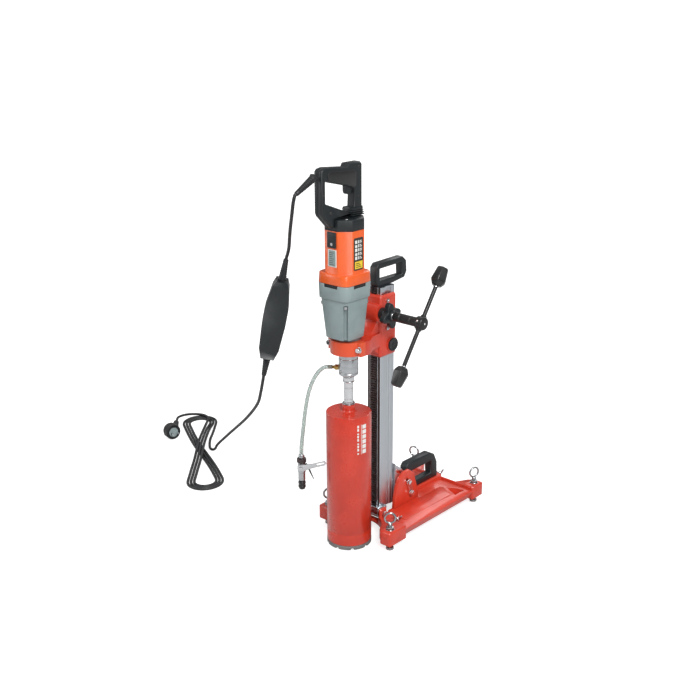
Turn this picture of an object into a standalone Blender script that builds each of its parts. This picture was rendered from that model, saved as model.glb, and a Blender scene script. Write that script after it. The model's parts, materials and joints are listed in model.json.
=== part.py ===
"""Core drill rig: a motor and core bit on a tilting column, with a rack-and-pinion feed.

Named values are millimetres and degrees; MM turns them into metres.
The drill axis is the local Z axis, the column stands behind it at +Y, the crank is at +X,
and the levelling feet stand on Z = 0.
"""
import bpy
import bmesh
from math import atan2, cos, degrees, hypot, pi, radians, sin
from mathutils import Matrix, Vector

MM = 0.001
GAP = 0.3                      # clearance between pieces that touch

# core bit and water feed, on the drill axis
BIT_RADIUS, BIT_WALL = 56.0, 4.0
BIT_BOTTOM, BIT_TOP = 3.5, 358.0
SEGMENT_COUNT = 9
HUB_TOP, ADAPTER_TOP = 377.0, 452.0
SWIVEL_RADIUS, SWIVEL_LOW, SWIVEL_HIGH = 24.0, 453.0, 507.5
HOSE_RADIUS, CORD_RADIUS = 5.0, 4.0

# motor unit, centred in front of the drill axis
MOTOR_Y = -12.0
CLAMP_BOLT_X = 47.5
COLLAR_LOW, COLLAR_HIGH, NECK_RADIUS, COLLAR_RADIUS = 511.0, 545.0, 29.7, 44.0
CASE_LOW, CASE_HIGH, CASE_HALF_LOW, CASE_HALF_HIGH = 554.0, 651.0, 37.5, 45.0
FLANGE_HALF, FLANGE_HIGH, FLARE_HIGH, CASE_CORNER = 49.0, 688.0, 713.0, 19.0
MOTOR_HALF, MOTOR_CHAMFER, MOTOR_HIGH, CAP_HIGH = 44.0, 24.0, 814.0, 840.0
HANDLE_HALF = 12.5

# gear train: tooth counts, and the places of its shafts
PINION_TEETH, WHEEL_TEETH, LOW_PINION_TEETH, SPINDLE_TEETH = 8, 25, 8, 24
LAYSHAFT = (-20.0, -16.0)

# column, rack and feed
COLUMN_HALF, COLUMN_FRONT, COLUMN_BACK = 22.0, 94.0, 146.0
COLUMN_LOW, COLUMN_HIGH = 62.0, 652.0
RACK_MODULE, RACK_TEETH, FEED_TEETH = 2.0, 90, 12
CRANK_Y, CRANK_Z = 80.0, 595.0
CARRIAGE_LOW, CARRIAGE_HIGH, CARRIAGE_HALF = 480.0, 636.0, 34.0
CRANK_REACHES, CRANK_LEAN = {"upper": 120.0, "lower": 136.0}, atan2(0.824, 0.566)
CRANK_X = 157.0

# base
PIVOT_Y, PIVOT_Z = 86.0, 57.0
PLATE_LOW, PLATE_HIGH, BLOCK_LOW, BLOCK_HIGH = 24.0, 50.0, 16.0, 55.0
PLATE_SLOPE = 14.0
BLOCK_OUTER, SIDE_OUTER, FRONT_EDGE, REAR_EDGE = 122.0, 114.0, 15.0, 412.0
FOOT_X, FOOT_YS = 105.0, (36.0, 392.0)
EYE_TURNS = (60.0, 10.0, 44.0, 70.0)
CHEEK_IN, CHEEK_OUT = 28.3, 38.0
TILT_RADIUS, TILT_ANGLES = 115.0, (9.0, 26.0)

HANDLE_FRONT = -98.0

# the row frame's origin, on the floor about under the middle of the rig without its cords
ORIGIN_X, ORIGIN_Y = 27.5, 152.0

FINISHES = {
    "cast_red": ((0.64, 0.055, 0.03), 0.45, 0.0),
    "orange": ((0.80, 0.11, 0.02), 0.40, 0.0),
    "gear_grey": ((0.33, 0.38, 0.38), 0.45, 0.0),
    "black": ((0.015, 0.017, 0.018), 0.45, 0.0),
    "rubber": ((0.02, 0.02, 0.02), 0.75, 0.0),
    "steel": ((0.55, 0.56, 0.58), 0.30, 1.0),
    "chrome": ((0.80, 0.80, 0.82), 0.12, 1.0),
    "aluminium": ((0.70, 0.72, 0.74), 0.35, 1.0),
    "brass": ((0.70, 0.50, 0.20), 0.30, 1.0),
    "copper": ((0.72, 0.30, 0.15), 0.35, 1.0),
    "diamond": ((0.25, 0.25, 0.26), 0.60, 1.0),
    "clear": ((0.75, 0.82, 0.80), 0.20, 0.0),
}

for old in list(bpy.data.objects):
    bpy.data.objects.remove(old, do_unlink=True)

scene = bpy.context.scene
parts = bpy.data.collections.new("core_drill_rig")
cutters = bpy.data.collections.new("cutters")
for group in (parts, cutters):
    scene.collection.children.link(group)

materials = {}
for finish, (colour, roughness, metallic) in FINISHES.items():
    material = bpy.data.materials.new(finish)
    material.use_nodes = True
    shader = material.node_tree.nodes["Principled BSDF"]
    shader.inputs["Base Color"].default_value = (*colour, 1.0)
    shader.inputs["Roughness"].default_value = roughness
    shader.inputs["Metallic"].default_value = metallic
    materials[finish] = material


# ---------------------------------------------------------------- bodies

def pivot(name, place, parent=None):
    """An empty at a joint's place; place is in millimetres in the rig's frame."""
    empty = bpy.data.objects.new(name, None)
    empty["place"] = place
    parts.objects.link(empty)
    origin = parent["place"] if parent else (0.0, 0.0, 0.0)
    empty.parent = parent
    empty.location = (Vector(place) - Vector(origin)) * MM
    return empty


rig = pivot("rig", (0.0, 0.0, 0.0))
rig.location = (-ORIGIN_X * MM, -ORIGIN_Y * MM, 0.0)
column = pivot("column_pivot", (0.0, PIVOT_Y, PIVOT_Z), rig)
carriage = pivot("carriage_slide", (0.0, 120.0, CARRIAGE_LOW), column)
crank = pivot("crank_axis", (0.0, CRANK_Y, CRANK_Z), carriage)
lock = pivot("lock_axis", (50.0, CRANK_Y, CRANK_Z), carriage)
spindle_axis = pivot("spindle_axis", (0.0, 0.0, 500.0), carriage)
layshaft_axis = pivot("layshaft_axis", (*LAYSHAFT, 610.0), carriage)
armature_axis = pivot("armature_axis", (0.0, MOTOR_Y, 750.0), carriage)


def settle(thing, body, collection):
    """Puts an object modelled in the rig's frame on its body."""
    for old in thing.users_collection:
        old.objects.unlink(thing)
    collection.objects.link(thing)
    thing.parent = body
    thing.location = -Vector(body["place"]) * MM


# ---------------------------------------------------------------- shapes, as bmeshes

def block(xs, ys, zs, edge=0.0, segments=1):
    """A box between two x, two y and two z values, with rounded edges."""
    bm = bmesh.new()
    bmesh.ops.create_cube(bm, size=1.0)
    size = [(b - a) * MM for a, b in (xs, ys, zs)]
    middle = [(a + b) / 2 * MM for a, b in (xs, ys, zs)]
    bmesh.ops.scale(bm, vec=size, verts=bm.verts)
    bmesh.ops.translate(bm, vec=middle, verts=bm.verts)
    if edge:
        bmesh.ops.bevel(bm, geom=list(bm.edges), offset=edge * MM, segments=segments,
                        affect="EDGES", profile=0.5, material=-1)
    return bm


def tapered(low, high, half_low, half_high, corner, centre_y=MOTOR_Y, edge=0.0):
    """A square tower that widens upwards, with round vertical corners."""
    bm = bmesh.new()
    bmesh.ops.create_cube(bm, size=2.0)
    for vert in bm.verts:
        half, z = (half_low, low) if vert.co.z < 0 else (half_high, high)
        vert.co = Vector((vert.co.x * half, centre_y + vert.co.y * half, z)) * MM
    upright = [e for e in bm.edges if abs(e.verts[0].co.z - e.verts[1].co.z) > 2 * MM]
    bmesh.ops.bevel(bm, geom=upright, offset=corner * MM, segments=3,
                    affect="EDGES", profile=0.5, material=-1)
    if edge:
        rims = [e for e in bm.edges if abs(e.verts[0].co.z - e.verts[1].co.z) < 0.01 * MM]
        bmesh.ops.bevel(bm, geom=rims, offset=edge * MM, segments=2,
                        affect="EDGES", profile=0.5, material=-1)
    return bm


def bar(start, end, radius, end_radius=None, sides=20):
    """A round or sided bar between two points."""
    start, end = Vector(start) * MM, Vector(end) * MM
    bm = bmesh.new()
    last = radius if end_radius is None else end_radius
    bmesh.ops.create_cone(bm, cap_ends=True, segments=sides, radius1=radius * MM,
                          radius2=last * MM, depth=(end - start).length)
    turn = Vector((0, 0, 1)).rotation_difference(end - start).to_matrix().to_4x4()
    bmesh.ops.transform(bm, matrix=Matrix.Translation((start + end) / 2) @ turn, verts=bm.verts)
    return bm


def from_curve(data, matrix=None):
    """The closed mesh of a curve, as a bmesh."""
    helper = bpy.data.objects.new("helper", data)
    scene.collection.objects.link(helper)
    graph = bpy.context.evaluated_depsgraph_get()
    mesh = bpy.data.meshes.new_from_object(helper.evaluated_get(graph))
    bpy.data.objects.remove(helper, do_unlink=True)
    bm = bmesh.new()
    bm.from_mesh(mesh)
    bpy.data.meshes.remove(mesh)
    bmesh.ops.remove_doubles(bm, verts=bm.verts, dist=0.00001)
    if matrix:
        bmesh.ops.transform(bm, matrix=matrix, verts=bm.verts)
    bmesh.ops.recalc_face_normals(bm, faces=bm.faces)
    return bm


PLANES = {
    "z": Matrix.Identity(4),
    "x": Matrix(((0, 0, 1, 0), (1, 0, 0, 0), (0, 1, 0, 0), (0, 0, 0, 1))),
    "y": Matrix(((0, 1, 0, 0), (0, 0, 1, 0), (1, 0, 0, 0), (0, 0, 0, 1))),
}


def plate(outlines, low, high, axis="z"):
    """Flat outlines, the first one's holes after it, as thick as low to high along an axis.
    The outline's points are (x, y) for axis z, (y, z) for axis x and (z, x) for axis y."""
    data = bpy.data.curves.new("outline", "CURVE")
    data.dimensions = "2D"
    data.fill_mode = "BOTH"
    data.extrude = (high - low) / 2 * MM
    for outline in outlines:
        spline = data.splines.new("POLY")
        spline.points.add(len(outline) - 1)
        for point, (u, v) in zip(spline.points, outline):
            point.co = (u * MM, v * MM, 0.0, 1.0)
        spline.use_cyclic_u = True
    lift = Matrix.Translation((0, 0, (low + high) / 2 * MM))
    return from_curve(data, PLANES[axis] @ lift)


def tube(points, radius, resolution=2):
    """A tube along points, with filled ends."""
    data = bpy.data.curves.new("route", "CURVE")
    data.dimensions = "3D"
    data.bevel_depth = radius * MM
    data.bevel_resolution = resolution
    data.use_fill_caps = True
    spline = data.splines.new("POLY")
    spline.points.add(len(points) - 1)
    for point, place in zip(spline.points, points):
        point.co = (*[value * MM for value in place], 1.0)
    return from_curve(data)


def arc(centre, radius, start, end, steps):
    """Points along an arc, from start to end degrees."""
    turn = [radians(start + (end - start) * i / steps) for i in range(steps + 1)]
    return [(centre[0] + radius * cos(a), centre[1] + radius * sin(a)) for a in turn]


def arc_slot(centre, radius, start, end, half):
    """The outline of a curved slot with round ends."""
    first = (centre[0] + radius * cos(radians(start)), centre[1] + radius * sin(radians(start)))
    last = (centre[0] + radius * cos(radians(end)), centre[1] + radius * sin(radians(end)))
    return (arc(centre, radius + half, start, end, 10) + arc(last, half, end, end + 180, 6)[1:-1]
            + arc(centre, radius - half, end, start, 10)
            + arc(first, half, start + 180, start + 360, 6)[1:-1])


def gear_outline(teeth, module, phase, centre=(0.0, 0.0)):
    """A spur gear's outline, with a tooth centred at the phase, in degrees."""
    root, tip = (teeth / 2 - 1.25) * module, (teeth / 2 + 0.75) * module
    step = 360.0 / teeth
    points = []
    for i in range(teeth):
        middle = phase + i * step
        for radius, offset in ((root, -0.25), (tip, -0.09), (tip, 0.09), (root, 0.25)):
            turn = radians(middle + offset * step)
            points.append((centre[0] + radius * cos(turn), centre[1] + radius * sin(turn)))
    return points


# ---------------------------------------------------------------- objects

def build(name, body, finish, shapes, joins=(), cuts=(), smooth=30.0):
    """One object from a bmesh or a group of separate ones, with Boolean joins and cuts."""
    shapes = shapes if isinstance(shapes, list) else [shapes]
    thing = bpy.data.objects.new(name, merged(name, shapes))
    thing.data.materials.append(materials[finish])
    settle(thing, body, parts)
    for operation, tools in (("UNION", joins), ("DIFFERENCE", cuts)):
        for i, tool in enumerate(tools):
            helper = bpy.data.objects.new(f"{name}_{operation.lower()}_{i}", merged("tool", [tool]))
            settle(helper, body, cutters)
            helper.hide_render = True
            helper.display_type = "WIRE"
            boolean = thing.modifiers.new(helper.name, "BOOLEAN")
            boolean.operation = operation
            boolean.solver = "EXACT"
            boolean.object = helper
    if smooth:
        thing.data.shade_smooth()
        thing.data.set_sharp_from_angle(angle=radians(smooth))
    return thing


def merged(name, shapes):
    """One mesh from several bmeshes, which are freed."""
    mesh = bpy.data.meshes.new(name)
    whole = bmesh.new()
    for shape in shapes:
        piece = bpy.data.meshes.new("piece")
        shape.to_mesh(piece)
        shape.free()
        whole.from_mesh(piece)
        bpy.data.meshes.remove(piece)
    whole.to_mesh(mesh)
    whole.free()
    return mesh


def turned(profile, at=(0.0, 0.0), sides=28):
    """A solid turned about a vertical axis: (radius, z) points down its outer side,
    from the axis at its top to the axis at its bottom, or a closed ring of points."""
    mesh = bpy.data.meshes.new("profile")
    ring = profile[0][0] > 0
    edges = [(i, i + 1) for i in range(len(profile) - 1)]
    if ring:
        edges.append((len(profile) - 1, 0))
    mesh.from_pydata([(r * MM, 0.0, z * MM) for r, z in profile], edges, [])
    helper = bpy.data.objects.new("helper", mesh)
    scene.collection.objects.link(helper)
    screw = helper.modifiers.new("turn", "SCREW")
    screw.steps = screw.render_steps = sides
    screw.use_merge_vertices = True
    screw.merge_threshold = 0.00001
    graph = bpy.context.evaluated_depsgraph_get()
    solid = bpy.data.meshes.new_from_object(helper.evaluated_get(graph))
    bpy.data.objects.remove(helper, do_unlink=True)
    bm = bmesh.new()
    bm.from_mesh(solid)
    bpy.data.meshes.remove(solid)
    bmesh.ops.remove_doubles(bm, verts=bm.verts, dist=0.00001)
    bmesh.ops.recalc_face_normals(bm, faces=bm.faces)
    bmesh.ops.translate(bm, vec=(at[0] * MM, at[1] * MM, 0.0), verts=bm.verts)
    return bm


def washer(inner, outer, low, high, at=(0.0, 0.0), sides=24):
    """A plain ring about a vertical axis."""
    return turned([(inner, high), (outer, high), (outer, low), (inner, low)], at, sides)


def aimed(bm, start, along):
    """Moves a shape turned about Z so that its origin is at start and its Z is along."""
    turn = Vector((0, 0, 1)).rotation_difference(Vector(along)).to_matrix().to_4x4()
    bmesh.ops.transform(bm, matrix=Matrix.Translation(Vector(start) * MM) @ turn, verts=bm.verts)
    return bm


# ================================================================ base

def base_outline():
    """The base plate from above: a hollow front edge behind the bit, and corner blocks."""
    right = [(92.0, FRONT_EDGE), (117.0, FRONT_EDGE), (BLOCK_OUTER, 20.0), (BLOCK_OUTER, 78.0),
             (SIDE_OUTER, 86.0), (SIDE_OUTER, 361.0), (BLOCK_OUTER, 368.0), (BLOCK_OUTER, 407.0),
             (117.0, REAR_EDGE), (84.0, REAR_EDGE), (76.0, 404.0), (58.0, 372.0)]
    left = [(-x, y) for x, y in reversed(right)]
    return arc((0, 0), 82.0, 160.0, 20.0, 16) + right + left


corners = [(x, y) for x in (-FOOT_X, FOOT_X) for y in FOOT_YS]
block_ys = {FOOT_YS[0]: (FRONT_EDGE + 0.1, 82.0), FOOT_YS[1]: (364.0, REAR_EDGE - 0.1)}
corner_blocks = [block(sorted((x / FOOT_X * 88.0, x / FOOT_X * (BLOCK_OUTER - 0.1))), block_ys[y],
                       (BLOCK_LOW, BLOCK_HIGH), 3.0) for x, y in corners]
lugs = [block(sorted((s * 32.3, s * 43.0)), (73.0, 99.0), (40.0, 72.0), 4.0) for s in (-1, 1)]
well = [block((-33.0, 33.0), (71.0, 119.0), (31.0, 80.0)),
        block((-33.0, 33.0), (96.0, 119.0), (0.0, 80.0)),
        block((-28.8, 28.8), (110.0, 214.0), (0.0, 80.0))]
pockets = [plate([[(s * x, y) for x, y in ((60.0, 326.0), (105.0, 306.0), (105.0, 350.0))]],
                 30.0, 80.0) for s in (-1, 1)]
screw_holes = [bar((x, y, 0.0), (x, y, 90.0), 5.4) for x, y in corners]
pin_hole = bar((-50.0, PIVOT_Y, PIVOT_Z), (50.0, PIVOT_Y, PIVOT_Z), 5.3)
base_plate = plate([base_outline()], PLATE_LOW, PLATE_HIGH)
sides = [e for e in base_plate.edges
         if all(abs(abs(v.co.x) - SIDE_OUTER * MM) < 0.0001 and v.co.z > 0.0499 for v in e.verts)]
bmesh.ops.bevel(base_plate, geom=sides, offset=PLATE_SLOPE * MM, segments=1, affect="EDGES",
                profile=0.5, material=-1)
build("base_casting", rig, "cast_red", base_plate,
      corner_blocks + lugs + [block((-16.0, 16.0), (222.0, 364.0), (40.0, 62.0), 2.0)],
      well + pockets + screw_holes + [pin_hole])

build("tilt_pivot_pin", rig, "steel",
      [bar((-46.0, PIVOT_Y, PIVOT_Z), (46.0, PIVOT_Y, PIVOT_Z), 5.0)])


def cheek(side):
    """One red cheek with its curved slot."""
    outline = [(134.0, PLATE_HIGH + GAP), (137.0, 78.0), (144.0, 110.0), (156.0, 131.0),
               (174.0, 141.0), (195.0, 141.5), (213.0, 128.0), (224.0, 92.0),
               (231.0, 72.0), (232.0, PLATE_HIGH + GAP)]
    slot = arc_slot((PIVOT_Y, PIVOT_Z), TILT_RADIUS, 4.0, 31.0, 4.4)
    low, high = sorted((side * CHEEK_IN, side * CHEEK_OUT))
    return plate([outline, slot], low, high, "x")


def tilt_place(x, angle):
    return (x, PIVOT_Y + TILT_RADIUS * cos(radians(angle)),
            PIVOT_Z + TILT_RADIUS * sin(radians(angle)))


for side, hand in ((1, "right"), (-1, "left")):
    build(f"tilt_cheek_{hand}", rig, "cast_red", cheek(side))
    strap = arc_slot((PIVOT_Y, PIVOT_Z), TILT_RADIUS, TILT_ANGLES[0] - 1, TILT_ANGLES[1] + 1, 7.5)
    bolts = []
    for angle in TILT_ANGLES:
        bolts.append(bar(tilt_place(side * 20.4, angle), tilt_place(side * 22.8, angle), 6.4, sides=16))
        bolts.append(bar(tilt_place(side * 22.0, angle), tilt_place(side * 42.0, angle), 4.0, sides=16))
        bolts.append(bar(tilt_place(side * 41.0, angle), tilt_place(side * 46.5, angle), 7.0, sides=6))
    build(f"tilt_clamp_{hand}", rig, "chrome",
          plate([strap], *sorted((side * 38.3, side * 41.3)), "x"), bolts)

handle_outer = [(228.0, 62.3), (214.0, 108.0), (214.0, 132.0), (223.0, 142.0), (316.0, 142.0),
                (336.0, 131.0), (348.0, 106.0), (350.0, 62.3)]
handle_inner = [(249.0, 79.0), (241.0, 114.0), (318.0, 114.0), (322.0, 79.0)]
build("base_carry_handle", rig, "black", plate([handle_outer, handle_inner], -12.0, 12.0, "x"))

for i, (x, y) in enumerate(corners):
    axis = pivot(f"levelling_axis_{i + 1}", (x, y, 0.0), rig)
    ring_turn = radians(EYE_TURNS[i])
    ring = turned([(16.0, 2.0), (16.0, -2.0), (14.0, -3.0), (11.5, -2.0), (11.5, 2.0), (14.0, 3.0)],
                  sides=24)
    aimed(ring, (x, y, 86.0), (sin(ring_turn), -cos(ring_turn), 0.0))
    stem = turned([(0.0, 73.5), (5.0, 73.5), (5.0, 7.0), (10.0, 5.0), (10.0, 0.0), (0.0, 0.0)],
                  (x, y), 24)
    build(f"levelling_screw_{i + 1}", axis, "chrome", stem, [ring])


# ================================================================ column

def column_outline():
    """The extrusion from above: a rack groove in front and shallow grooves on its sides."""
    half = [(9.3, COLUMN_FRONT), (20.0, COLUMN_FRONT), (COLUMN_HALF, 96.0), (COLUMN_HALF, 108.0),
            (19.5, 110.0), (19.5, 130.0), (COLUMN_HALF, 132.0), (COLUMN_HALF, 144.0),
            (20.0, COLUMN_BACK)]
    groove = [(-9.3, COLUMN_FRONT), (-9.3, 100.0), (9.3, 100.0)]
    return half + [(-x, y) for x, y in reversed(half)] + groove


hollow = [(-13.0, 106.0), (13.0, 106.0), (13.0, 138.0), (-13.0, 138.0)]
build("column_profile", column, "aluminium",
      plate([column_outline(), hollow], COLUMN_LOW, COLUMN_HIGH))


def rack_outline():
    """The rack from its side, as (y, z): teeth towards -Y, one level with the pinion's gap."""
    pitch = pi * RACK_MODULE
    line = CRANK_Y + FEED_TEETH / 2 * RACK_MODULE
    tip, root, back = line - 0.8 * RACK_MODULE, line + 1.1 * RACK_MODULE, COLUMN_FRONT + 5.7
    start = CRANK_Z - (RACK_TEETH - 8) * pitch
    points = []
    for i in range(RACK_TEETH):
        z = start + i * pitch
        for y, offset in ((root, -0.27), (tip, -0.13), (tip, 0.13), (root, 0.27)):
            points.append((y, z + offset * pitch))
    return points + [(back, z + 0.27 * pitch), (back, start - 0.27 * pitch)]


build("rack", column, "steel", plate([rack_outline()], -8.8, 8.8, "x"))

shoe = block((-30.0, 30.0), (79.0, 112.0), (43.0, 70.0), 2.0)
build("column_foot_bracket", column, "aluminium", shoe,
      [bar((-30.0, PIVOT_Y, PIVOT_Z), (30.0, PIVOT_Y, PIVOT_Z), 11.0)],
      [block((-22.3, 22.3), (COLUMN_FRONT - GAP, 120.0), (COLUMN_LOW - GAP, 80.0)),
       bar((-50.0, PIVOT_Y, PIVOT_Z), (50.0, PIVOT_Y, PIVOT_Z), 5.3)])

sector_outline = (arc((PIVOT_Y, PIVOT_Z), 127.0, 5.0, 59.0, 14)
                  + [(COLUMN_BACK + GAP, 172.0), (COLUMN_BACK + GAP, 64.0)])
narrow = arc_slot((PIVOT_Y, PIVOT_Z), TILT_RADIUS, 5.5, 54.0, 4.4)
wide = arc_slot((PIVOT_Y, PIVOT_Z), TILT_RADIUS, 5.0, 54.5, 6.8)
sector_cuts = [block((-16.0, 16.0), (154.0, 230.0), (50.0, 200.0))]
sector_cuts += [plate([narrow], *sorted((s * 15.0, s * 30.0)), "x") for s in (-1, 1)]
sector_cuts += [plate([wide], *sorted((s * 15.0, s * 23.2)), "x") for s in (-1, 1)]
build("tilt_sector", column, "aluminium", plate([sector_outline], -27.7, 27.7, "x"),
      cuts=sector_cuts)

top_outer = [(94.0, COLUMN_HIGH + GAP), (90.0, 660.0), (90.0, 700.0), (99.0, 710.0),
             (190.0, 712.0), (203.0, 700.0), (205.0, 672.0), (196.0, 658.0),
             (150.0, COLUMN_HIGH + GAP)]
top_inner = [(103.0, 667.0), (103.0, 696.0), (186.0, 698.0), (188.0, 667.0)]
build("column_top_handle", column, "black", plate([top_outer, top_inner], -11.5, 11.5, "x"))


# ================================================================ carriage

def collar_outline(split, sign):
    """Half of the neck clamp, as (x, y), on the side of the split line that sign says."""
    inner = arc((0, 0), NECK_RADIUS + GAP, 90 - 84, 90 + 84, 14)
    if sign < 0:
        outer = arc((0, 0), COLLAR_RADIUS, 199, 341, 16)
        edge = [(-30.0, split), (-53.0, split), (-53.0, -14.0)] + outer
        edge += [(53.0, -14.0), (53.0, split), (30.0, split)]
    else:
        edge = [(30.0, split), (53.0, split), (53.0, 20.0), (38.0, 46.0), (33.0, 84.0)]
        edge += [(-x, y) for x, y in reversed(edge)]
    return edge + [(x, sign * y) for x, y in (inner if sign < 0 else reversed(inner))]


rib = [(46.0, 513.0), (84.0, 487.0), (84.0, 603.0), (62.0, 560.0), (46.0, 543.0)]
cap_seat = [bar((s * 30.0, 121.0, 507.0), (s * 37.0, 121.0, 507.0), 19.0) for s in (-1, 1)]
build("carriage_casting", carriage, "cast_red",
      block((-CARRIAGE_HALF, CARRIAGE_HALF), (79.0, 138.0), (CARRIAGE_LOW, CARRIAGE_HIGH), 4.0),
      [plate([collar_outline(3.3, 1)], COLLAR_LOW, COLLAR_HIGH),
       plate([rib], -28.0, 28.0, "x"),
       bar((-36.0, CRANK_Y, CRANK_Z), (36.0, CRANK_Y, CRANK_Z), 22.0, sides=32)] + cap_seat,
      [block((-25.0, 25.0), (COLUMN_FRONT - GAP, 160.0), (470.0, 650.0)),
       block((-10.0, 10.0), (88.0, 96.0), (470.0, 650.0)),
       bar((-9.0, CRANK_Y, CRANK_Z), (9.0, CRANK_Y, CRANK_Z), 15.5, sides=32),
       bar((-50.0, CRANK_Y, CRANK_Z), (50.0, CRANK_Y, CRANK_Z), 8.4)]
      + [bar((s * CLAMP_BOLT_X, 0.0, 528.0), (s * CLAMP_BOLT_X, 19.0, 528.0), 4.3, sides=16)
         for s in (-1, 1)])

build("clamp_cap", carriage, "orange", plate([collar_outline(2.7, -1)], COLLAR_LOW, COLLAR_HIGH),
      cuts=[bar((s * CLAMP_BOLT_X, -30.0, 528.0), (s * CLAMP_BOLT_X, 10.0, 528.0), 4.3, sides=16)
            for s in (-1, 1)])

for s, hand in ((1, "right"), (-1, "left")):
    build(f"clamp_bolt_{hand}", carriage, "chrome",
          bar((s * CLAMP_BOLT_X, -22.0, 528.0), (s * CLAMP_BOLT_X, -15.2, 528.0), 6.0, sides=16),
          [bar((s * CLAMP_BOLT_X, -16.0, 528.0), (s * CLAMP_BOLT_X, 18.5, 528.0), 4.0, sides=16)])
    build(f"glide_pad_{hand}", carriage, "brass",
          block(sorted((s * 22.3, s * 24.7)), (97.0, 107.0), (484.0, 632.0)))
    build(f"adjuster_cap_{hand}", carriage, "black",
          bar((s * 37.3, 121.0, 507.0), (s * 42.0, 121.0, 507.0), 16.5))

# crank: shaft with the feed pinion, sleeve, hub, bar and grips
feed_pinion = gear_outline(FEED_TEETH, RACK_MODULE, 180.0 / FEED_TEETH, (CRANK_Y, CRANK_Z))
build("crank_shaft", crank, "steel",
      bar((-40.0, CRANK_Y, CRANK_Z), (CRANK_X - 5.8, CRANK_Y, CRANK_Z), 8.0, sides=28),
      [plate([feed_pinion], -7.0, 7.0, "x"),
       bar((-44.0, CRANK_Y, CRANK_Z), (-36.5, CRANK_Y, CRANK_Z), 12.0)])
lean = Vector((0.0, cos(CRANK_LEAN), sin(CRANK_LEAN)))
crank_centre = Vector((CRANK_X, CRANK_Y, CRANK_Z))
build("crank_hub", crank, "black",
      bar((77.5, CRANK_Y, CRANK_Z), (CRANK_X - 9.0, CRANK_Y, CRANK_Z), 11.5),
      [bar((CRANK_X - 11.0, CRANK_Y, CRANK_Z), (CRANK_X + 11.0, CRANK_Y, CRANK_Z), 16.0, sides=32),
       bar(crank_centre - lean * (CRANK_REACHES["lower"] - 15),
           crank_centre + lean * (CRANK_REACHES["upper"] - 15), 5.0, sides=16)],
      [bar((70.0, CRANK_Y, CRANK_Z), (CRANK_X - 5.5, CRANK_Y, CRANK_Z), 8.3)])


def grip():
    """A six-sided knob about Z, from its throat at the bar to its blunt end."""
    knob = turned([(0.0, 23.5), (12.0, 23.5), (15.0, 20.5), (20.0, -12.0), (13.0, -23.5),
                   (6.3, -23.5), (6.3, -14.0), (0.0, -14.0)], sides=6)
    return knob


for s, end in ((1, "upper"), (-1, "lower")):
    build(f"crank_grip_{end}", crank, "rubber",
          aimed(grip(), crank_centre + lean * s * CRANK_REACHES[end], lean * s), smooth=0)

star = [(CRANK_Y + (26.0 + 7.0 * cos(4 * a)) * cos(a + 0.2),
         CRANK_Z + (26.0 + 7.0 * cos(4 * a)) * sin(a + 0.2))
        for a in (2 * pi * i / 48 for i in range(48))]
build("feed_lock_knob", lock, "black", plate([star], 56.0, 71.0, "x"),
      [bar((36.5, CRANK_Y, CRANK_Z), (60.0, CRANK_Y, CRANK_Z), 15.0),
       bar((70.0, CRANK_Y, CRANK_Z), (75.0, CRANK_Y, CRANK_Z), 14.0, 12.0)],
      [bar((30.0, CRANK_Y, CRANK_Z), (80.0, CRANK_Y, CRANK_Z), 8.4)])


# ================================================================ motor unit

case_top = CASE_HIGH + GAP
build("gearbox_housing", carriage, "gear_grey",
      tapered(CASE_LOW, CASE_HIGH, CASE_HALF_LOW, CASE_HALF_HIGH, CASE_CORNER),
      [bar((0.0, 0.0, 508.5), (0.0, 0.0, 558.0), NECK_RADIUS, sides=32)],
      [tapered(562.0, CASE_HIGH + 5.0, CASE_HALF_LOW - 5.5, CASE_HALF_HIGH - 5.5, 20.0),
       bar((0.0, 0.0, 500.0), (0.0, 0.0, 570.0), 14.4),
       bar((0.0, 0.0, 500.0), (0.0, 0.0, 524.0), 22.3, sides=32)]
      + [bar((sx * 29.8, MOTOR_Y + sy * 29.8, 550.0), (sx * 36.8, MOTOR_Y + sy * 36.8, 642.0), 5.6,
             sides=16) for sx in (-1, 1) for sy in (-1, 1)])

vents = [block((-21.0, 21.0), (MOTOR_Y + s * 54.5 - 8.0, MOTOR_Y + s * 54.5 + 8.0), (680.0, 695.0))
         for s in (-1, 1)]
vents += [block((s * 54.5 - 8.0, s * 54.5 + 8.0), (MOTOR_Y - 21.0, MOTOR_Y + 21.0), (680.0, 695.0))
          for s in (-1, 1)]
build("gearbox_flange", carriage, "gear_grey",
      tapered(case_top, FLANGE_HIGH, FLANGE_HALF - 1.0, FLANGE_HALF, CASE_CORNER, edge=1.5),
      cuts=[tapered(640.0, 659.0, 39.0, 39.0, 19.0), tapered(669.0, 700.0, 41.0, 41.0, 16.0),
            bar((0.0, MOTOR_Y, 650.0), (0.0, MOTOR_Y, 680.0), 9.3)] + vents)


def octagon(half, chamfer, low, high):
    """The motor's eight-sided section, as a solid."""
    flat = half - chamfer
    quarter = [(half, -flat), (half, flat), (flat, half), (-flat, half),
               (-half, flat), (-half, -flat), (-flat, -half), (flat, -half)]
    return plate([[(x, MOTOR_Y + y) for x, y in quarter]], low, high)


build("motor_housing", carriage, "orange",
      tapered(FLANGE_HIGH + GAP, FLARE_HIGH, FLANGE_HALF, FLANGE_HALF - 1.5, CASE_CORNER, edge=1.5),
      [octagon(MOTOR_HALF, MOTOR_CHAMFER, 700.0, MOTOR_HIGH)],
      [bar((0.0, MOTOR_Y, 680.0), (0.0, MOTOR_Y, 820.0), 39.0, sides=32)])

build("rear_cap", carriage, "black",
      octagon(MOTOR_HALF, MOTOR_CHAMFER, MOTOR_HIGH + GAP, CAP_HIGH),
      cuts=[bar((0.0, MOTOR_Y, 805.0), (0.0, MOTOR_Y, 820.0), 36.0, sides=32),
            bar((0.0, MOTOR_Y, 815.0), (0.0, MOTOR_Y, 829.0), 9.3),
            bar((0.0, MOTOR_Y, 815.0), (0.0, MOTOR_Y, 835.0), 6.0)])

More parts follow.
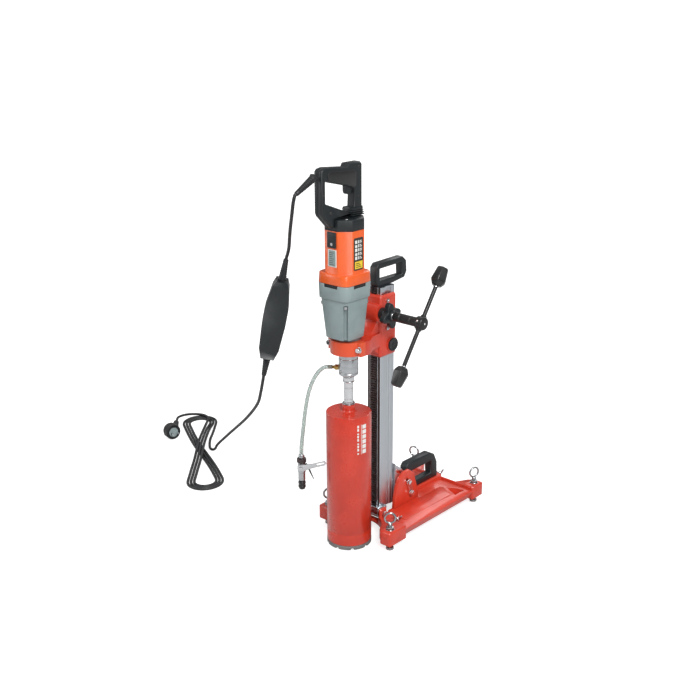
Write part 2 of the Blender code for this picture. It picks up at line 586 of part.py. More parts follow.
grip_outer = [(-58.0, CAP_HIGH + GAP), (-58.0, 822.0), (-64.0, 822.0), (-95.0, 853.0),
              (HANDLE_FRONT, 860.0), (HANDLE_FRONT, 953.0), (-92.0, 959.0), (-80.0, 961.0),
              (-13.0, 955.0), (-8.0, 963.0), (32.0, 963.0), (37.0, 957.0), (37.0, CAP_HIGH + GAP)]
grip_inner = [(-85.0, 881.0), (0.0, 848.0), (9.0, 852.0), (12.0, 897.0), (10.0, 904.0),
              (-13.0, 912.0), (-85.0, 930.0)]
trigger_pocket = [(-11.5, 889.0), (8.5, 889.0), (8.5, 930.0), (-11.5, 930.0)]
for side, name in ((1, "handle_shell_right"), (-1, "handle_shell_left")):
    shell = plate([grip_outer, grip_inner], *sorted((side * GAP / 2, side * HANDLE_HALF)), "x")
    build(name, carriage, "black", shell, cuts=[plate([trigger_pocket], -7.0, 7.0, "x")])

trigger_axis = pivot("trigger_slide", (0.0, -1.5, 905.0), carriage)
build("trigger", trigger_axis, "black",
      plate([[(-11.0, 922.0), (-11.0, 899.0), (-7.5, 892.0), (5.5, 890.0), (8.0, 892.0),
              (8.0, 922.0)]], -6.5, 6.5, "x"))

relief_start, relief_end = Vector((0.0, HANDLE_FRONT - GAP, 948.2)), Vector((0.0, -166.0, 913.0))
relief_way = (relief_end - relief_start).normalized()
build("strain_relief", carriage, "rubber",
      bar(relief_start + relief_way * 5, relief_end, 9.0, 5.5),
      [block((-7.0, 7.0), (HANDLE_FRONT - 9.0, HANDLE_FRONT - GAP), (938.0, 952.5))])

build("brush_cover", carriage, "black",
      block((-11.0, 16.0), (-59.0, MOTOR_Y - MOTOR_HALF - GAP), (775.0, 812.0), 1.0),
      [bar((3.0, -60.5, 784.0), (3.0, -57.0, 784.0), 4.0, sides=16)])
# electrical and mechanical insides
build("stator", carriage, "copper", washer(26.0, 38.6, 724.0, 788.0, (0.0, MOTOR_Y)))
build("motor_bearing", carriage, "steel", washer(4.4, 9.0, 660.0, 668.0, (0.0, MOTOR_Y)))
build("spindle_bearing", carriage, "steel", washer(14.3, 22.0, 509.5, 523.5))


def mesh_phase(driver_teeth, driver_phase, driver_at, driven_teeth, driven_at):
    """The driven gear's phase that puts a gap opposite the driver's nearest tooth."""
    line = degrees(atan2(driven_at[1] - driver_at[1], driven_at[0] - driver_at[0]))
    off = ((line - driver_phase) * driver_teeth / 360.0) % 1.0
    return line + 180.0 + 180.0 / driven_teeth + off * 360.0 / driven_teeth


motor_at, spindle_at = (0.0, MOTOR_Y), (0.0, 0.0)
high_reach = hypot(LAYSHAFT[0] - motor_at[0], LAYSHAFT[1] - motor_at[1])
low_reach = hypot(LAYSHAFT[0], LAYSHAFT[1])
high_module = 2 * high_reach / (PINION_TEETH + WHEEL_TEETH)
low_module = 2 * low_reach / (LOW_PINION_TEETH + SPINDLE_TEETH)
wheel_phase = mesh_phase(PINION_TEETH, 0.0, motor_at, WHEEL_TEETH, LAYSHAFT)
low_phase = mesh_phase(SPINDLE_TEETH, 0.0, spindle_at, LOW_PINION_TEETH, LAYSHAFT)

build("armature", armature_axis, "copper",
      turned([(0.0, 831.0), (4.0, 831.0), (4.0, 808.0), (15.0, 807.0), (15.0, 791.0), (20.0, 788.0),
              (25.2, 785.0), (25.2, 727.0), (18.0, 722.0), (4.0, 720.0), (4.0, 630.0), (0.0, 630.0)],
             motor_at),
      [plate([gear_outline(PINION_TEETH, high_module, 0.0, motor_at)], 631.0, 645.0),
       plate([gear_outline(14, 4.2, 0.0, motor_at)], 695.0, 709.0)])
build("layshaft", layshaft_axis, "steel",
      bar((*LAYSHAFT, 592.0), (*LAYSHAFT, 650.0), 3.5, sides=16),
      [plate([gear_outline(WHEEL_TEETH, high_module, wheel_phase, LAYSHAFT)], 633.0, 643.0),
       plate([gear_outline(LOW_PINION_TEETH, low_module, low_phase, LAYSHAFT)], 598.0, 618.0)])
build("spindle", spindle_axis, "steel",
      turned([(0.0, 620.0), (9.0, 620.0), (9.0, 590.0), (14.0, 590.0), (14.0, 509.0), (11.6, 509.0),
              (11.6, 452.3), (0.0, 452.3)]),
      [plate([gear_outline(SPINDLE_TEETH, low_module, 0.0)], 601.0, 614.0)])

# water swivel, its seals and the brass nipple
build("water_swivel", carriage, "steel",
      turned([(15.0, SWIVEL_HIGH), (22.5, SWIVEL_HIGH), (SWIVEL_RADIUS, SWIVEL_HIGH - 1.5),
              (SWIVEL_RADIUS, SWIVEL_LOW + 1.5), (22.5, SWIVEL_LOW), (15.0, SWIVEL_LOW)]))
feed_way = Vector((-0.8, -0.6, 0.0))


def by_hose(reach, z):
    """A point in the upright plane of the water hose."""
    return (feed_way.x * reach, feed_way.y * reach, z)


NIPPLE_Z, NIPPLE_END = 470.0, 50.0
build("hose_nipple", carriage, "brass",
      bar(by_hose(24.6, NIPPLE_Z), by_hose(33.0, NIPPLE_Z), 7.5, sides=6),
      [bar(by_hose(32.0, NIPPLE_Z), by_hose(NIPPLE_END, NIPPLE_Z), 5.5, sides=16)], smooth=0)

# adapter, hub and core bit
build("bit_adapter", spindle_axis, "steel",
      turned([(0.0, ADAPTER_TOP), (15.0, ADAPTER_TOP), (15.0, 436.0), (11.5, 434.0),
              (11.5, HUB_TOP + GAP), (0.0, HUB_TOP + GAP)]))
build("core_bit", spindle_axis, "cast_red",
      turned([(0.0, HUB_TOP), (14.5, HUB_TOP), (16.0, HUB_TOP - 2), (16.0, BIT_TOP),
              (BIT_RADIUS - 1.0, BIT_TOP), (BIT_RADIUS, BIT_TOP - 1.0), (BIT_RADIUS, BIT_BOTTOM + 10),
              (BIT_RADIUS - BIT_WALL, BIT_BOTTOM + 10), (BIT_RADIUS - BIT_WALL, BIT_TOP - 8),
              (0.0, BIT_TOP - 8)], sides=48))
waterways = []
for i in range(SEGMENT_COUNT):
    turn = 2 * pi * i / SEGMENT_COUNT
    waterways.append(bar((45.0 * cos(turn), 45.0 * sin(turn), BIT_BOTTOM),
                         (65.0 * cos(turn), 65.0 * sin(turn), BIT_BOTTOM), 4.5, sides=8))
build("bit_crown", spindle_axis, "diamond",
      washer(BIT_RADIUS - BIT_WALL - 0.5, BIT_RADIUS + 0.5, BIT_BOTTOM, BIT_BOTTOM + 10 - GAP, sides=48),
      cuts=waterways)


# ================================================================ hose, cord and their fittings

def smooth_route(points, spacing):
    """Points about spacing apart, on a smooth curve through the route's points."""
    route = [Vector(p) for p in points]
    ends = [2 * route[0] - route[1]] + route + [2 * route[-1] - route[-2]]
    dense = []
    for i in range(1, len(ends) - 2):
        before, a, b, after = ends[i - 1:i + 3]
        for j in range(20):
            t = j / 20
            dense.append(0.5 * (2 * a + (b - before) * t + (2 * before - 5 * a + 4 * b - after) * t * t
                                + (3 * a - before - 3 * b + after) * t ** 3))
    dense.append(route[-1])
    length = sum((q - p).length for p, q in zip(dense, dense[1:]))
    count = max(2, round(length / spacing))
    even, walked, target = [dense[0]], 0.0, length / count
    for p, q in zip(dense, dense[1:]):
        step = (q - p).length
        while walked + step >= target * len(even) and len(even) < count:
            even.append(p.lerp(q, (target * len(even) - walked) / step))
        walked += step
    even.append(dense[-1])
    return even


def led_route(points, first_way, last_way, spacing, lead=4.0):
    """A smooth route whose ends leave and arrive squarely along the given directions."""
    first, last = Vector(points[0]), Vector(points[-1])
    inner = [first + first_way * lead] + list(points[1:-1]) + [last - last_way * lead]
    return [first] + smooth_route(inner, spacing) + [last]


hose_start, hose_end = Vector(by_hose(NIPPLE_END + GAP, NIPPLE_Z)), Vector(by_hose(119.0, 238.0))
hose_route = [hose_start, by_hose(62.0, 467.0), by_hose(75.0, 454.0),
              by_hose(88.0, 431.0), by_hose(99.0, 398.0), by_hose(107.0, 355.0),
              by_hose(113.0, 306.0), by_hose(118.0, 262.0), hose_end]
build("water_hose", carriage, "clear",
      tube(led_route(hose_route, feed_way, Vector((0, 0, -1)), 12.0), HOSE_RADIUS))

VALVE_REACH = 119.0
valve_x, valve_y = feed_way.x * VALVE_REACH, feed_way.y * VALVE_REACH
build("valve_body", column, "chrome",
      turned([(0.0, 237.7), (8.0, 237.7), (8.0, 230.0), (11.5, 228.0), (11.5, 214.0), (9.0, 212.0),
              (9.0, 196.0), (8.0, 194.0), (8.0, 166.0), (9.5, 164.0), (9.5, 146.0), (7.5, 142.0),
              (0.0, 142.0)], (valve_x, valve_y), 24))
front_way = Vector((0.6, -0.8, 0.0))
valve_centre = Vector((valve_x, valve_y, 205.0))
lever_axis = pivot("valve_axis", tuple(valve_centre), column)
lever_shape = [(-9.0, -5.0), (-5.0, -9.0), (5.0, -9.0), (30.0, 1.0), (60.0, 9.0), (64.0, 15.0),
               (60.0, 21.0), (28.0, 12.0), (4.0, 9.0), (-5.0, 9.0), (-9.0, 5.0)]
lever_hole = [(40.0, 8.0), (57.0, 12.5), (59.0, 15.0), (56.0, 17.0), (39.0, 12.5)]
lever = plate([lever_shape, lever_hole], 12.0, 14.5)
frame_turn = Matrix((((-feed_way.x), 0.0, front_way.x, 0.0), ((-feed_way.y), 0.0, front_way.y, 0.0),
                     (0.0, 1.0, 0.0, 0.0), (0.0, 0.0, 0.0, 1.0)))
bmesh.ops.transform(lever, matrix=Matrix.Translation(valve_centre * MM) @ frame_turn,
                    verts=lever.verts)
bmesh.ops.recalc_face_normals(lever, faces=lever.faces)
build("valve_lever", lever_axis, "chrome", lever)

# mains cord: upper run, in-line safety switch, lower run, figure-of-eight hank and plug
switch_top, switch_bottom = Vector((-100.0, -118.0, 694.0)), Vector((-144.0, -131.0, 500.0))
switch_way = (switch_bottom - switch_top).normalized()
SLEEVE_LONG = 52.0
sleeve_top = switch_top - switch_way * SLEEVE_LONG
sleeve_low = switch_bottom + switch_way * SLEEVE_LONG

upper_route = [relief_end + relief_way * GAP, Vector((-3.0, -172.0, 898.0)),
               Vector((-14.0, -166.0, 868.0)), Vector((-42.0, -146.0, 820.0)),
               Vector((-68.0, -125.0, 775.0)), sleeve_top - switch_way * GAP]
build("mains_cord_upper", carriage, "rubber",
      tube(led_route(upper_route, relief_way, switch_way, 12.0), CORD_RADIUS))

across = Vector((-0.74, -0.67, 0.0)).normalized()
depth_way = switch_way.cross(across).normalized()
across = depth_way.cross(switch_way).normalized()
switch_middle = (switch_top + switch_bottom) / 2
switch_frame = Matrix((
    (across.x, depth_way.x, -switch_way.x, switch_middle.x * MM),
    (across.y, depth_way.y, -switch_way.y, switch_middle.y * MM),
    (across.z, depth_way.z, -switch_way.z, switch_middle.z * MM),
    (0.0, 0.0, 0.0, 1.0)))
long_half = (switch_top - switch_bottom).length / 2


def on_switch(shape):
    """Moves a shape made about the origin onto the in-line switch, upright along its cord."""
    bmesh.ops.transform(shape, matrix=switch_frame, verts=shape.verts)
    bmesh.ops.recalc_face_normals(shape, faces=shape.faces)
    return shape


case_outline = [(-16.0, -long_half), (16.0, -long_half), (24.0, -long_half + 26.0), (28.0, -10.0),
                (28.0, 30.0), (20.0, long_half - 16.0), (14.0, long_half), (-14.0, long_half),
                (-20.0, long_half - 16.0), (-28.0, 30.0), (-28.0, -10.0), (-24.0, -long_half + 26.0)]


shell = plate([[(x, -y) for x, y in case_outline]], -20.0, 20.0)
bmesh.ops.transform(shell, matrix=Matrix.Rotation(radians(-90), 4, "X"), verts=shell.verts)
button_places = {"test": -14.0, "reset": 14.0}
build("safety_switch", column, "black", on_switch(shell),
      [bar(sleeve_top, switch_top + switch_way, 5.5, 9.0, sides=16),
       bar(switch_bottom - switch_way, sleeve_low, 9.0, 5.5, sides=16)],
      [on_switch(block((-8.2, 8.2), (8.0, 40.0), (z - 8.2, z + 8.2)))
       for z in button_places.values()])
for name, z in button_places.items():
    centre = switch_frame @ Vector((0.0, 0.0, z * MM)) / MM
    axis = pivot(f"{name}_button_slide", tuple(centre), column)
    build(f"{name}_button", axis, "chrome",
          on_switch(block((-7.5, 7.5), (11.5, 22.5), (z - 7.5, z + 7.5), 1.0)))

# the hank lies on the floor along a line from its near loop to its far loop
HANK_NEAR, HANK_FAR = Vector((-487.0, -62.0, 0.0)), Vector((-925.0, 280.0, 0.0))
HANK_HALF_WIDTH, HANK_HEIGHT = 58.0, 26.0
hank_middle = (HANK_NEAR + HANK_FAR) / 2
hank_way = (HANK_FAR - HANK_NEAR).normalized()
hank_side = Vector((-hank_way.y, hank_way.x, 0.0))
hank_long = (HANK_FAR - HANK_NEAR).length / 2


def hank_point(along, aside, z=0.0):
    place = hank_middle + hank_way * along + hank_side * aside
    return Vector((place.x, place.y, z))


lobe = HANK_HALF_WIDTH
ARRIVAL_Z = 10.0
arrival_way = Vector((-0.92, 0.39, 0.0)).normalized()
arrival_side = Vector((-arrival_way.y, arrival_way.x, 0.0))
entry = hank_point(0.0, -26.0, ARRIVAL_Z)
hank_outline = [hank_point(hank_long - lobe + lobe * cos(a), lobe * sin(a))
                for a in (radians(-90 + 180 * i / 12) for i in range(13))]
hank_outline += [hank_point(0.0, 24.0)]
hank_outline += [hank_point(-hank_long + lobe - lobe * cos(a), -lobe * sin(a))
                 for a in (radians(-90 + 180 * i / 12) for i in range(13))]
hank_outline += [entry + arrival_side * 6.0, entry - arrival_side * 6.0]
build("cord_hank", rig, "rubber",
      plate([[(p.x, p.y) for p in hank_outline]], 0.3, HANK_HEIGHT))

lower_route = [sleeve_low + switch_way * GAP, Vector((-182.0, -121.0, 397.0)),
               Vector((-223.0, -97.0, 345.0)), Vector((-325.0, -46.0, 262.0)),
               Vector((-467.0, 20.0, 160.0)), Vector((-580.0, 68.0, 76.0)),
               entry - arrival_way * 55 + Vector((0, 0, 20.0)),
               entry - arrival_way * 25 + Vector((0, 0, 4.0)), entry - arrival_way * GAP]
build("mains_cord_lower", column, "rubber",
      tube(led_route(lower_route, switch_way, arrival_way, 19.0), CORD_RADIUS))

plug_start, plug_end = Vector((-905.0, 172.0, 24.0)), Vector((-868.0, 134.0, 22.0))
plug_middle, face_way = Vector((-858.0, 114.0, 24.6)), Vector((0.97, -0.24, 0.0)).normalized()
pin_side = Vector((-face_way.y, face_way.x, 0.0))
pins = [bar(plug_middle + pin_side * s * 9.5, plug_middle + pin_side * s * 9.5 + face_way * 36,
            2.4, sides=12) for s in (-1, 1)]
plug_disc = bar(plug_middle - face_way * 17, plug_middle + face_way * 17, 24.0, sides=24)
build("mains_plug", rig, "rubber", bar(plug_start, plug_end, 8.5, 12.5), [plug_disc] + pins)

print("parts:", len(parts.objects))
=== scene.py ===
import json
from math import asin, cos, pi, radians, sin

import bmesh
import bpy
from mathutils import Matrix, Vector

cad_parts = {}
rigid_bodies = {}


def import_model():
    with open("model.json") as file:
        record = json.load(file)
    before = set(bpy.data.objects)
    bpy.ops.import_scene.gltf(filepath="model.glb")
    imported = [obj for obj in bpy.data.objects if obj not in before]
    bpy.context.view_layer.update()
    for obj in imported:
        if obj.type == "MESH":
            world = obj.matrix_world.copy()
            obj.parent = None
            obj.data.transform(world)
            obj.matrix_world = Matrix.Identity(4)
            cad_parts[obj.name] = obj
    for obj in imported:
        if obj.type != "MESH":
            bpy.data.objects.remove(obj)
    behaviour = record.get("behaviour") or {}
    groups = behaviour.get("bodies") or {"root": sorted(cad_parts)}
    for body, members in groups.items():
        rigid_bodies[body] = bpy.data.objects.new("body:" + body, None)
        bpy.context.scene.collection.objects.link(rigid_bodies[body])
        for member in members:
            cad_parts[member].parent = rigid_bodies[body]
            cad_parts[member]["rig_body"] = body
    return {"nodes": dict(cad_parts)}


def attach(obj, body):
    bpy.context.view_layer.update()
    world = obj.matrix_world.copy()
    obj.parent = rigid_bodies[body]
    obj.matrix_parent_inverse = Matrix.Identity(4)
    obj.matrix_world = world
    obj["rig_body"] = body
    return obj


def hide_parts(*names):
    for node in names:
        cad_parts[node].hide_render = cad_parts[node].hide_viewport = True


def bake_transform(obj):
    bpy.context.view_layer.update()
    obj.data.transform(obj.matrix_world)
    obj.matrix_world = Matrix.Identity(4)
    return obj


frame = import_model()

# Shapes are made in millimetres from the drill axis; rigShift carries them into the frame.
scene = bpy.context.scene
nodes = frame["nodes"]
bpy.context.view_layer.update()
rigShift = Vector((-27.5, -152.0, 0.0))
motorY = -12.0


# camera, floor and lights

view = {"turn": 42.292, "reach": 2386.5, "height": 1325.6, "pitch": 18.777,
        "aside": -0.0935, "roll": -0.2665, "lens": 54.0, "sensor": 36.0}


def addCamera():
    turn = radians(view["turn"])
    place = Vector((sin(turn) * view["reach"], -cos(turn) * view["reach"], view["height"]))
    camera = bpy.data.objects.new("camera", bpy.data.cameras.new("camera"))
    camera.data.lens = view["lens"]
    camera.data.sensor_width = view["sensor"]
    camera.data.clip_end = 2000.0
    camera.matrix_world = (Matrix.Translation((place + rigShift) / 1000)
                           @ Matrix.Rotation(turn + radians(view["aside"]), 4, "Z")
                           @ Matrix.Rotation(radians(90.0 - view["pitch"]), 4, "X")
                           @ Matrix.Rotation(radians(view["roll"]), 4, "Z"))
    scene.collection.objects.link(camera)
    scene.camera = camera


studio = {"sun": 1.55, "sunTurn": 62.0, "sunHeight": 48.0, "sunSpread": 16.0, "floorTone": 0.62,
          "skyLow": 0.05, "skyHigh": 0.55, "skyBands": 0.55, "skyWaves": 5.0, "skySeen": 1.02,
          "floorSize": 1200.0, "floorSeen": 0.75}
softboxes = {  # place in mm from the drill axis, width and height in m, power in W
    "rightBox": ((1500, -900, 1500), (0.7, 1.6), 16.0),
    "leftBox": ((-1500, -1500, 1300), (0.6, 1.4), 9.0),
    "backBox": ((-600, 1900, 1500), (1.2, 1.0), 10.0),
}


def setInputs(node, values):
    for key, value in values.items():
        node.inputs[key].default_value = value


def addNode(tree, kind, values=None, **settings):
    node = tree.nodes.new(kind)
    for key, value in settings.items():
        setattr(node, key, value)
    setInputs(node, values or {})
    return node


def link(tree, source, output, target, socket):
    tree.links.new(source.outputs[output], target.inputs[socket])


def newMaterial(name):
    material = bpy.data.materials.new(name)
    material.use_nodes = True
    return material, material.node_tree, material.node_tree.nodes["Principled BSDF"]


def addStudio():
    bm = bmesh.new()
    bmesh.ops.create_grid(bm, x_segments=8, y_segments=8, size=studio["floorSize"] / 2)
    mesh = bpy.data.meshes.new("floor")
    bm.to_mesh(mesh)
    bm.free()
    floor = bpy.data.objects.new("floor", mesh)
    scene.collection.objects.link(floor)
    paper, tree, shader = newMaterial("floorPaper")
    setInputs(shader, {"Base Color": (*[studio["floorTone"]] * 3, 1.0), "Roughness": 1.0,
                       "Specular IOR Level": 0.0, "Emission Color": (1.0, 1.0, 1.0, 1.0)})
    # the floor glows only where it is seen, so that it is as white as the backdrop
    eye = addNode(tree, "ShaderNodeLightPath")
    glow = addNode(tree, "ShaderNodeMath", {1: studio["floorSeen"]}, operation="MULTIPLY")
    link(tree, eye, "Is Camera Ray", glow, 0)
    link(tree, glow, 0, shader, "Emission Strength")
    mesh.materials.append(paper)

    sun = bpy.data.objects.new("sun", bpy.data.lights.new("sun", "SUN"))
    sun.data.energy = studio["sun"]
    sun.data.angle = radians(studio["sunSpread"])
    sun.rotation_euler = (radians(90.0 - studio["sunHeight"]), 0.0, radians(studio["sunTurn"]))
    scene.collection.objects.link(sun)
    target = (Vector((0.0, 0.0, 500.0)) + rigShift) / 1000
    for name, (place, size, power) in softboxes.items():
        lamp = bpy.data.objects.new(name, bpy.data.lights.new(name, "AREA"))
        lamp.data.shape = "RECTANGLE"
        lamp.data.size, lamp.data.size_y = size
        lamp.data.energy = power
        lamp.location = (Vector(place) + rigShift) / 1000
        lamp.rotation_euler = (lamp.location - target).to_track_quat("Z", "Y").to_euler()
        scene.collection.objects.link(lamp)

    world = bpy.data.worlds.new("studio")
    world.use_nodes = True
    tree = world.node_tree
    background = tree.nodes["Background"]
    direction = addNode(tree, "ShaderNodeTexCoord")
    split = addNode(tree, "ShaderNodeSeparateXYZ")
    ramp = addNode(tree, "ShaderNodeMapRange", {"From Min": 0.02, "From Max": 0.45,
                                                "To Min": studio["skyLow"],
                                                "To Max": studio["skyHigh"]})
    link(tree, direction, "Generated", split, 0)
    link(tree, split, "Z", ramp, "Value")
    # bright and dark upright bands all round, for reflections
    around = addNode(tree, "ShaderNodeMath", operation="ARCTAN2")
    times = addNode(tree, "ShaderNodeMath", {1: studio["skyWaves"]}, operation="MULTIPLY")
    wave = addNode(tree, "ShaderNodeMath", operation="SINE")
    bands = addNode(tree, "ShaderNodeMath", {1: studio["skyBands"], 2: 1.0},
                    operation="MULTIPLY_ADD")
    banded = addNode(tree, "ShaderNodeMath", operation="MULTIPLY")
    link(tree, split, "Y", around, 0)
    link(tree, split, "X", around, 1)
    for source, target in ((around, times), (times, wave), (wave, bands), (bands, banded)):
        link(tree, source, 0, target, 0)
    link(tree, ramp, 0, banded, 1)
    # the backdrop is white where it is seen, and dimmer where it only lights the rig
    rays = addNode(tree, "ShaderNodeLightPath")
    seen = addNode(tree, "ShaderNodeMix", {"B": studio["skySeen"]})
    link(tree, rays, "Is Camera Ray", seen, "Factor")
    link(tree, banded, 0, seen, "A")
    link(tree, seen, "Result", background, "Strength")
    background.inputs["Color"].default_value = (1.0, 1.0, 1.0, 1.0)
    scene.world = world
    scene.view_settings.view_transform = "Standard"


addCamera()
addStudio()
print("camera and lights are in place")


# materials

def newGroup(name, inputs, outputs):
    group = bpy.data.node_groups.new(name, "ShaderNodeTree")
    for label, value in inputs.items():
        socket = group.interface.new_socket(name=label, in_out="INPUT",
                                            socket_type="NodeSocketFloat")
        socket.default_value = value
    for label in outputs:
        group.interface.new_socket(name=label, in_out="OUTPUT", socket_type="NodeSocketFloat")
    return group, group.nodes.new("NodeGroupInput"), group.nodes.new("NodeGroupOutput")


def makeWearGroup():
    # bare edges: where a rounded normal leaves the true one, broken up by noise
    group, given, made = newGroup("edgeWear", {"Radius": 0.002, "Amount": 0.5}, ["Mask"])
    bevel = addNode(group, "ShaderNodeBevel", samples=4)
    geometry = addNode(group, "ShaderNodeNewGeometry")
    dot = addNode(group, "ShaderNodeVectorMath", operation="DOT_PRODUCT")
    away = addNode(group, "ShaderNodeMapRange",
                   {"From Min": 0.995, "From Max": 0.86, "To Min": 0.0, "To Max": 1.0})
    spots = addNode(group, "ShaderNodeTexNoise", {"Scale": 130.0, "Detail": 4.0})
    broken = addNode(group, "ShaderNodeMapRange", {"From Min": 0.44, "From Max": 0.62})
    both = addNode(group, "ShaderNodeMath", operation="MULTIPLY")
    scaled = addNode(group, "ShaderNodeMath", operation="MULTIPLY")
    place = addNode(group, "ShaderNodeTexCoord")
    link(group, given, "Radius", bevel, "Radius")
    link(group, bevel, 0, dot, 0)
    link(group, geometry, "Normal", dot, 1)
    link(group, dot, "Value", away, "Value")
    link(group, place, "Object", spots, "Vector")
    link(group, spots, 0, broken, "Value")
    link(group, away, 0, both, 0)
    link(group, broken, 0, both, 1)
    link(group, both, 0, scaled, 0)
    link(group, given, "Amount", scaled, 1)
    link(group, scaled, 0, made, "Mask")
    return group


def makeDustAndShadeGroup():
    # dust and painted shade: ambient occlusion darkens corners and creases, in faint blotches
    group, given, made = newGroup("dustAndShade", {"Distance": 0.012, "Amount": 0.5}, ["Mask"])
    shade = addNode(group, "ShaderNodeAmbientOcclusion", samples=4)
    corner = addNode(group, "ShaderNodeMapRange",
                     {"From Min": 0.85, "From Max": 0.25, "To Min": 0.0, "To Max": 1.0})
    blotch = addNode(group, "ShaderNodeTexNoise", {"Scale": 22.0, "Detail": 6.0, "Roughness": 0.65})
    faint = addNode(group, "ShaderNodeMapRange",
                    {"From Min": 0.5, "From Max": 0.85, "To Min": 0.12, "To Max": 0.9})
    both = addNode(group, "ShaderNodeMath", {2: 0.0}, operation="MULTIPLY_ADD")
    scaled = addNode(group, "ShaderNodeMath", operation="MULTIPLY", use_clamp=True)
    place = addNode(group, "ShaderNodeTexCoord")
    link(group, given, "Distance", shade, "Distance")
    link(group, shade, "AO", corner, "Value")
    link(group, place, "Object", blotch, "Vector")
    link(group, blotch, 0, faint, "Value")
    link(group, corner, 0, both, 0)
    link(group, faint, 0, both, 1)
    link(group, both, 0, scaled, 0)
    link(group, given, "Amount", scaled, 1)
    link(group, scaled, 0, made, "Mask")
    return group


def makeGrainGroup():
    # fine height for bump, and slow patches for colour and roughness
    group, given, made = newGroup("surfaceGrain", {"Scale": 900.0, "Stretch": 1.0},
                                  ["Height", "Patches"])
    place = addNode(group, "ShaderNodeTexCoord")
    squeeze = addNode(group, "ShaderNodeCombineXYZ", {"X": 1.0, "Y": 1.0})
    along = addNode(group, "ShaderNodeVectorMath", operation="MULTIPLY")
    fine = addNode(group, "ShaderNodeTexNoise", {"Detail": 3.0, "Roughness": 0.6})
    cells = addNode(group, "ShaderNodeTexVoronoi")
    mixed = addNode(group, "ShaderNodeMath", {1: 0.35}, operation="MULTIPLY_ADD")
    patches = addNode(group, "ShaderNodeTexNoise", {"Scale": 16.0, "Detail": 5.0, "Roughness": 0.6})
    link(group, given, "Stretch", squeeze, "Z")
    link(group, place, "Object", along, 0)
    link(group, squeeze, 0, along, 1)
    for texture in (fine, cells):
        link(group, along, 0, texture, "Vector")
        link(group, given, "Scale", texture, "Scale")
    link(group, cells, "Distance", mixed, 0)
    link(group, fine, 0, mixed, 2)
    link(group, along, 0, patches, "Vector")
    link(group, mixed, 0, made, "Height")
    link(group, patches, 0, made, "Patches")
    return group


groups = {"wear": makeWearGroup(), "dustAndShade": makeDustAndShadeGroup(), "grain": makeGrainGroup()}
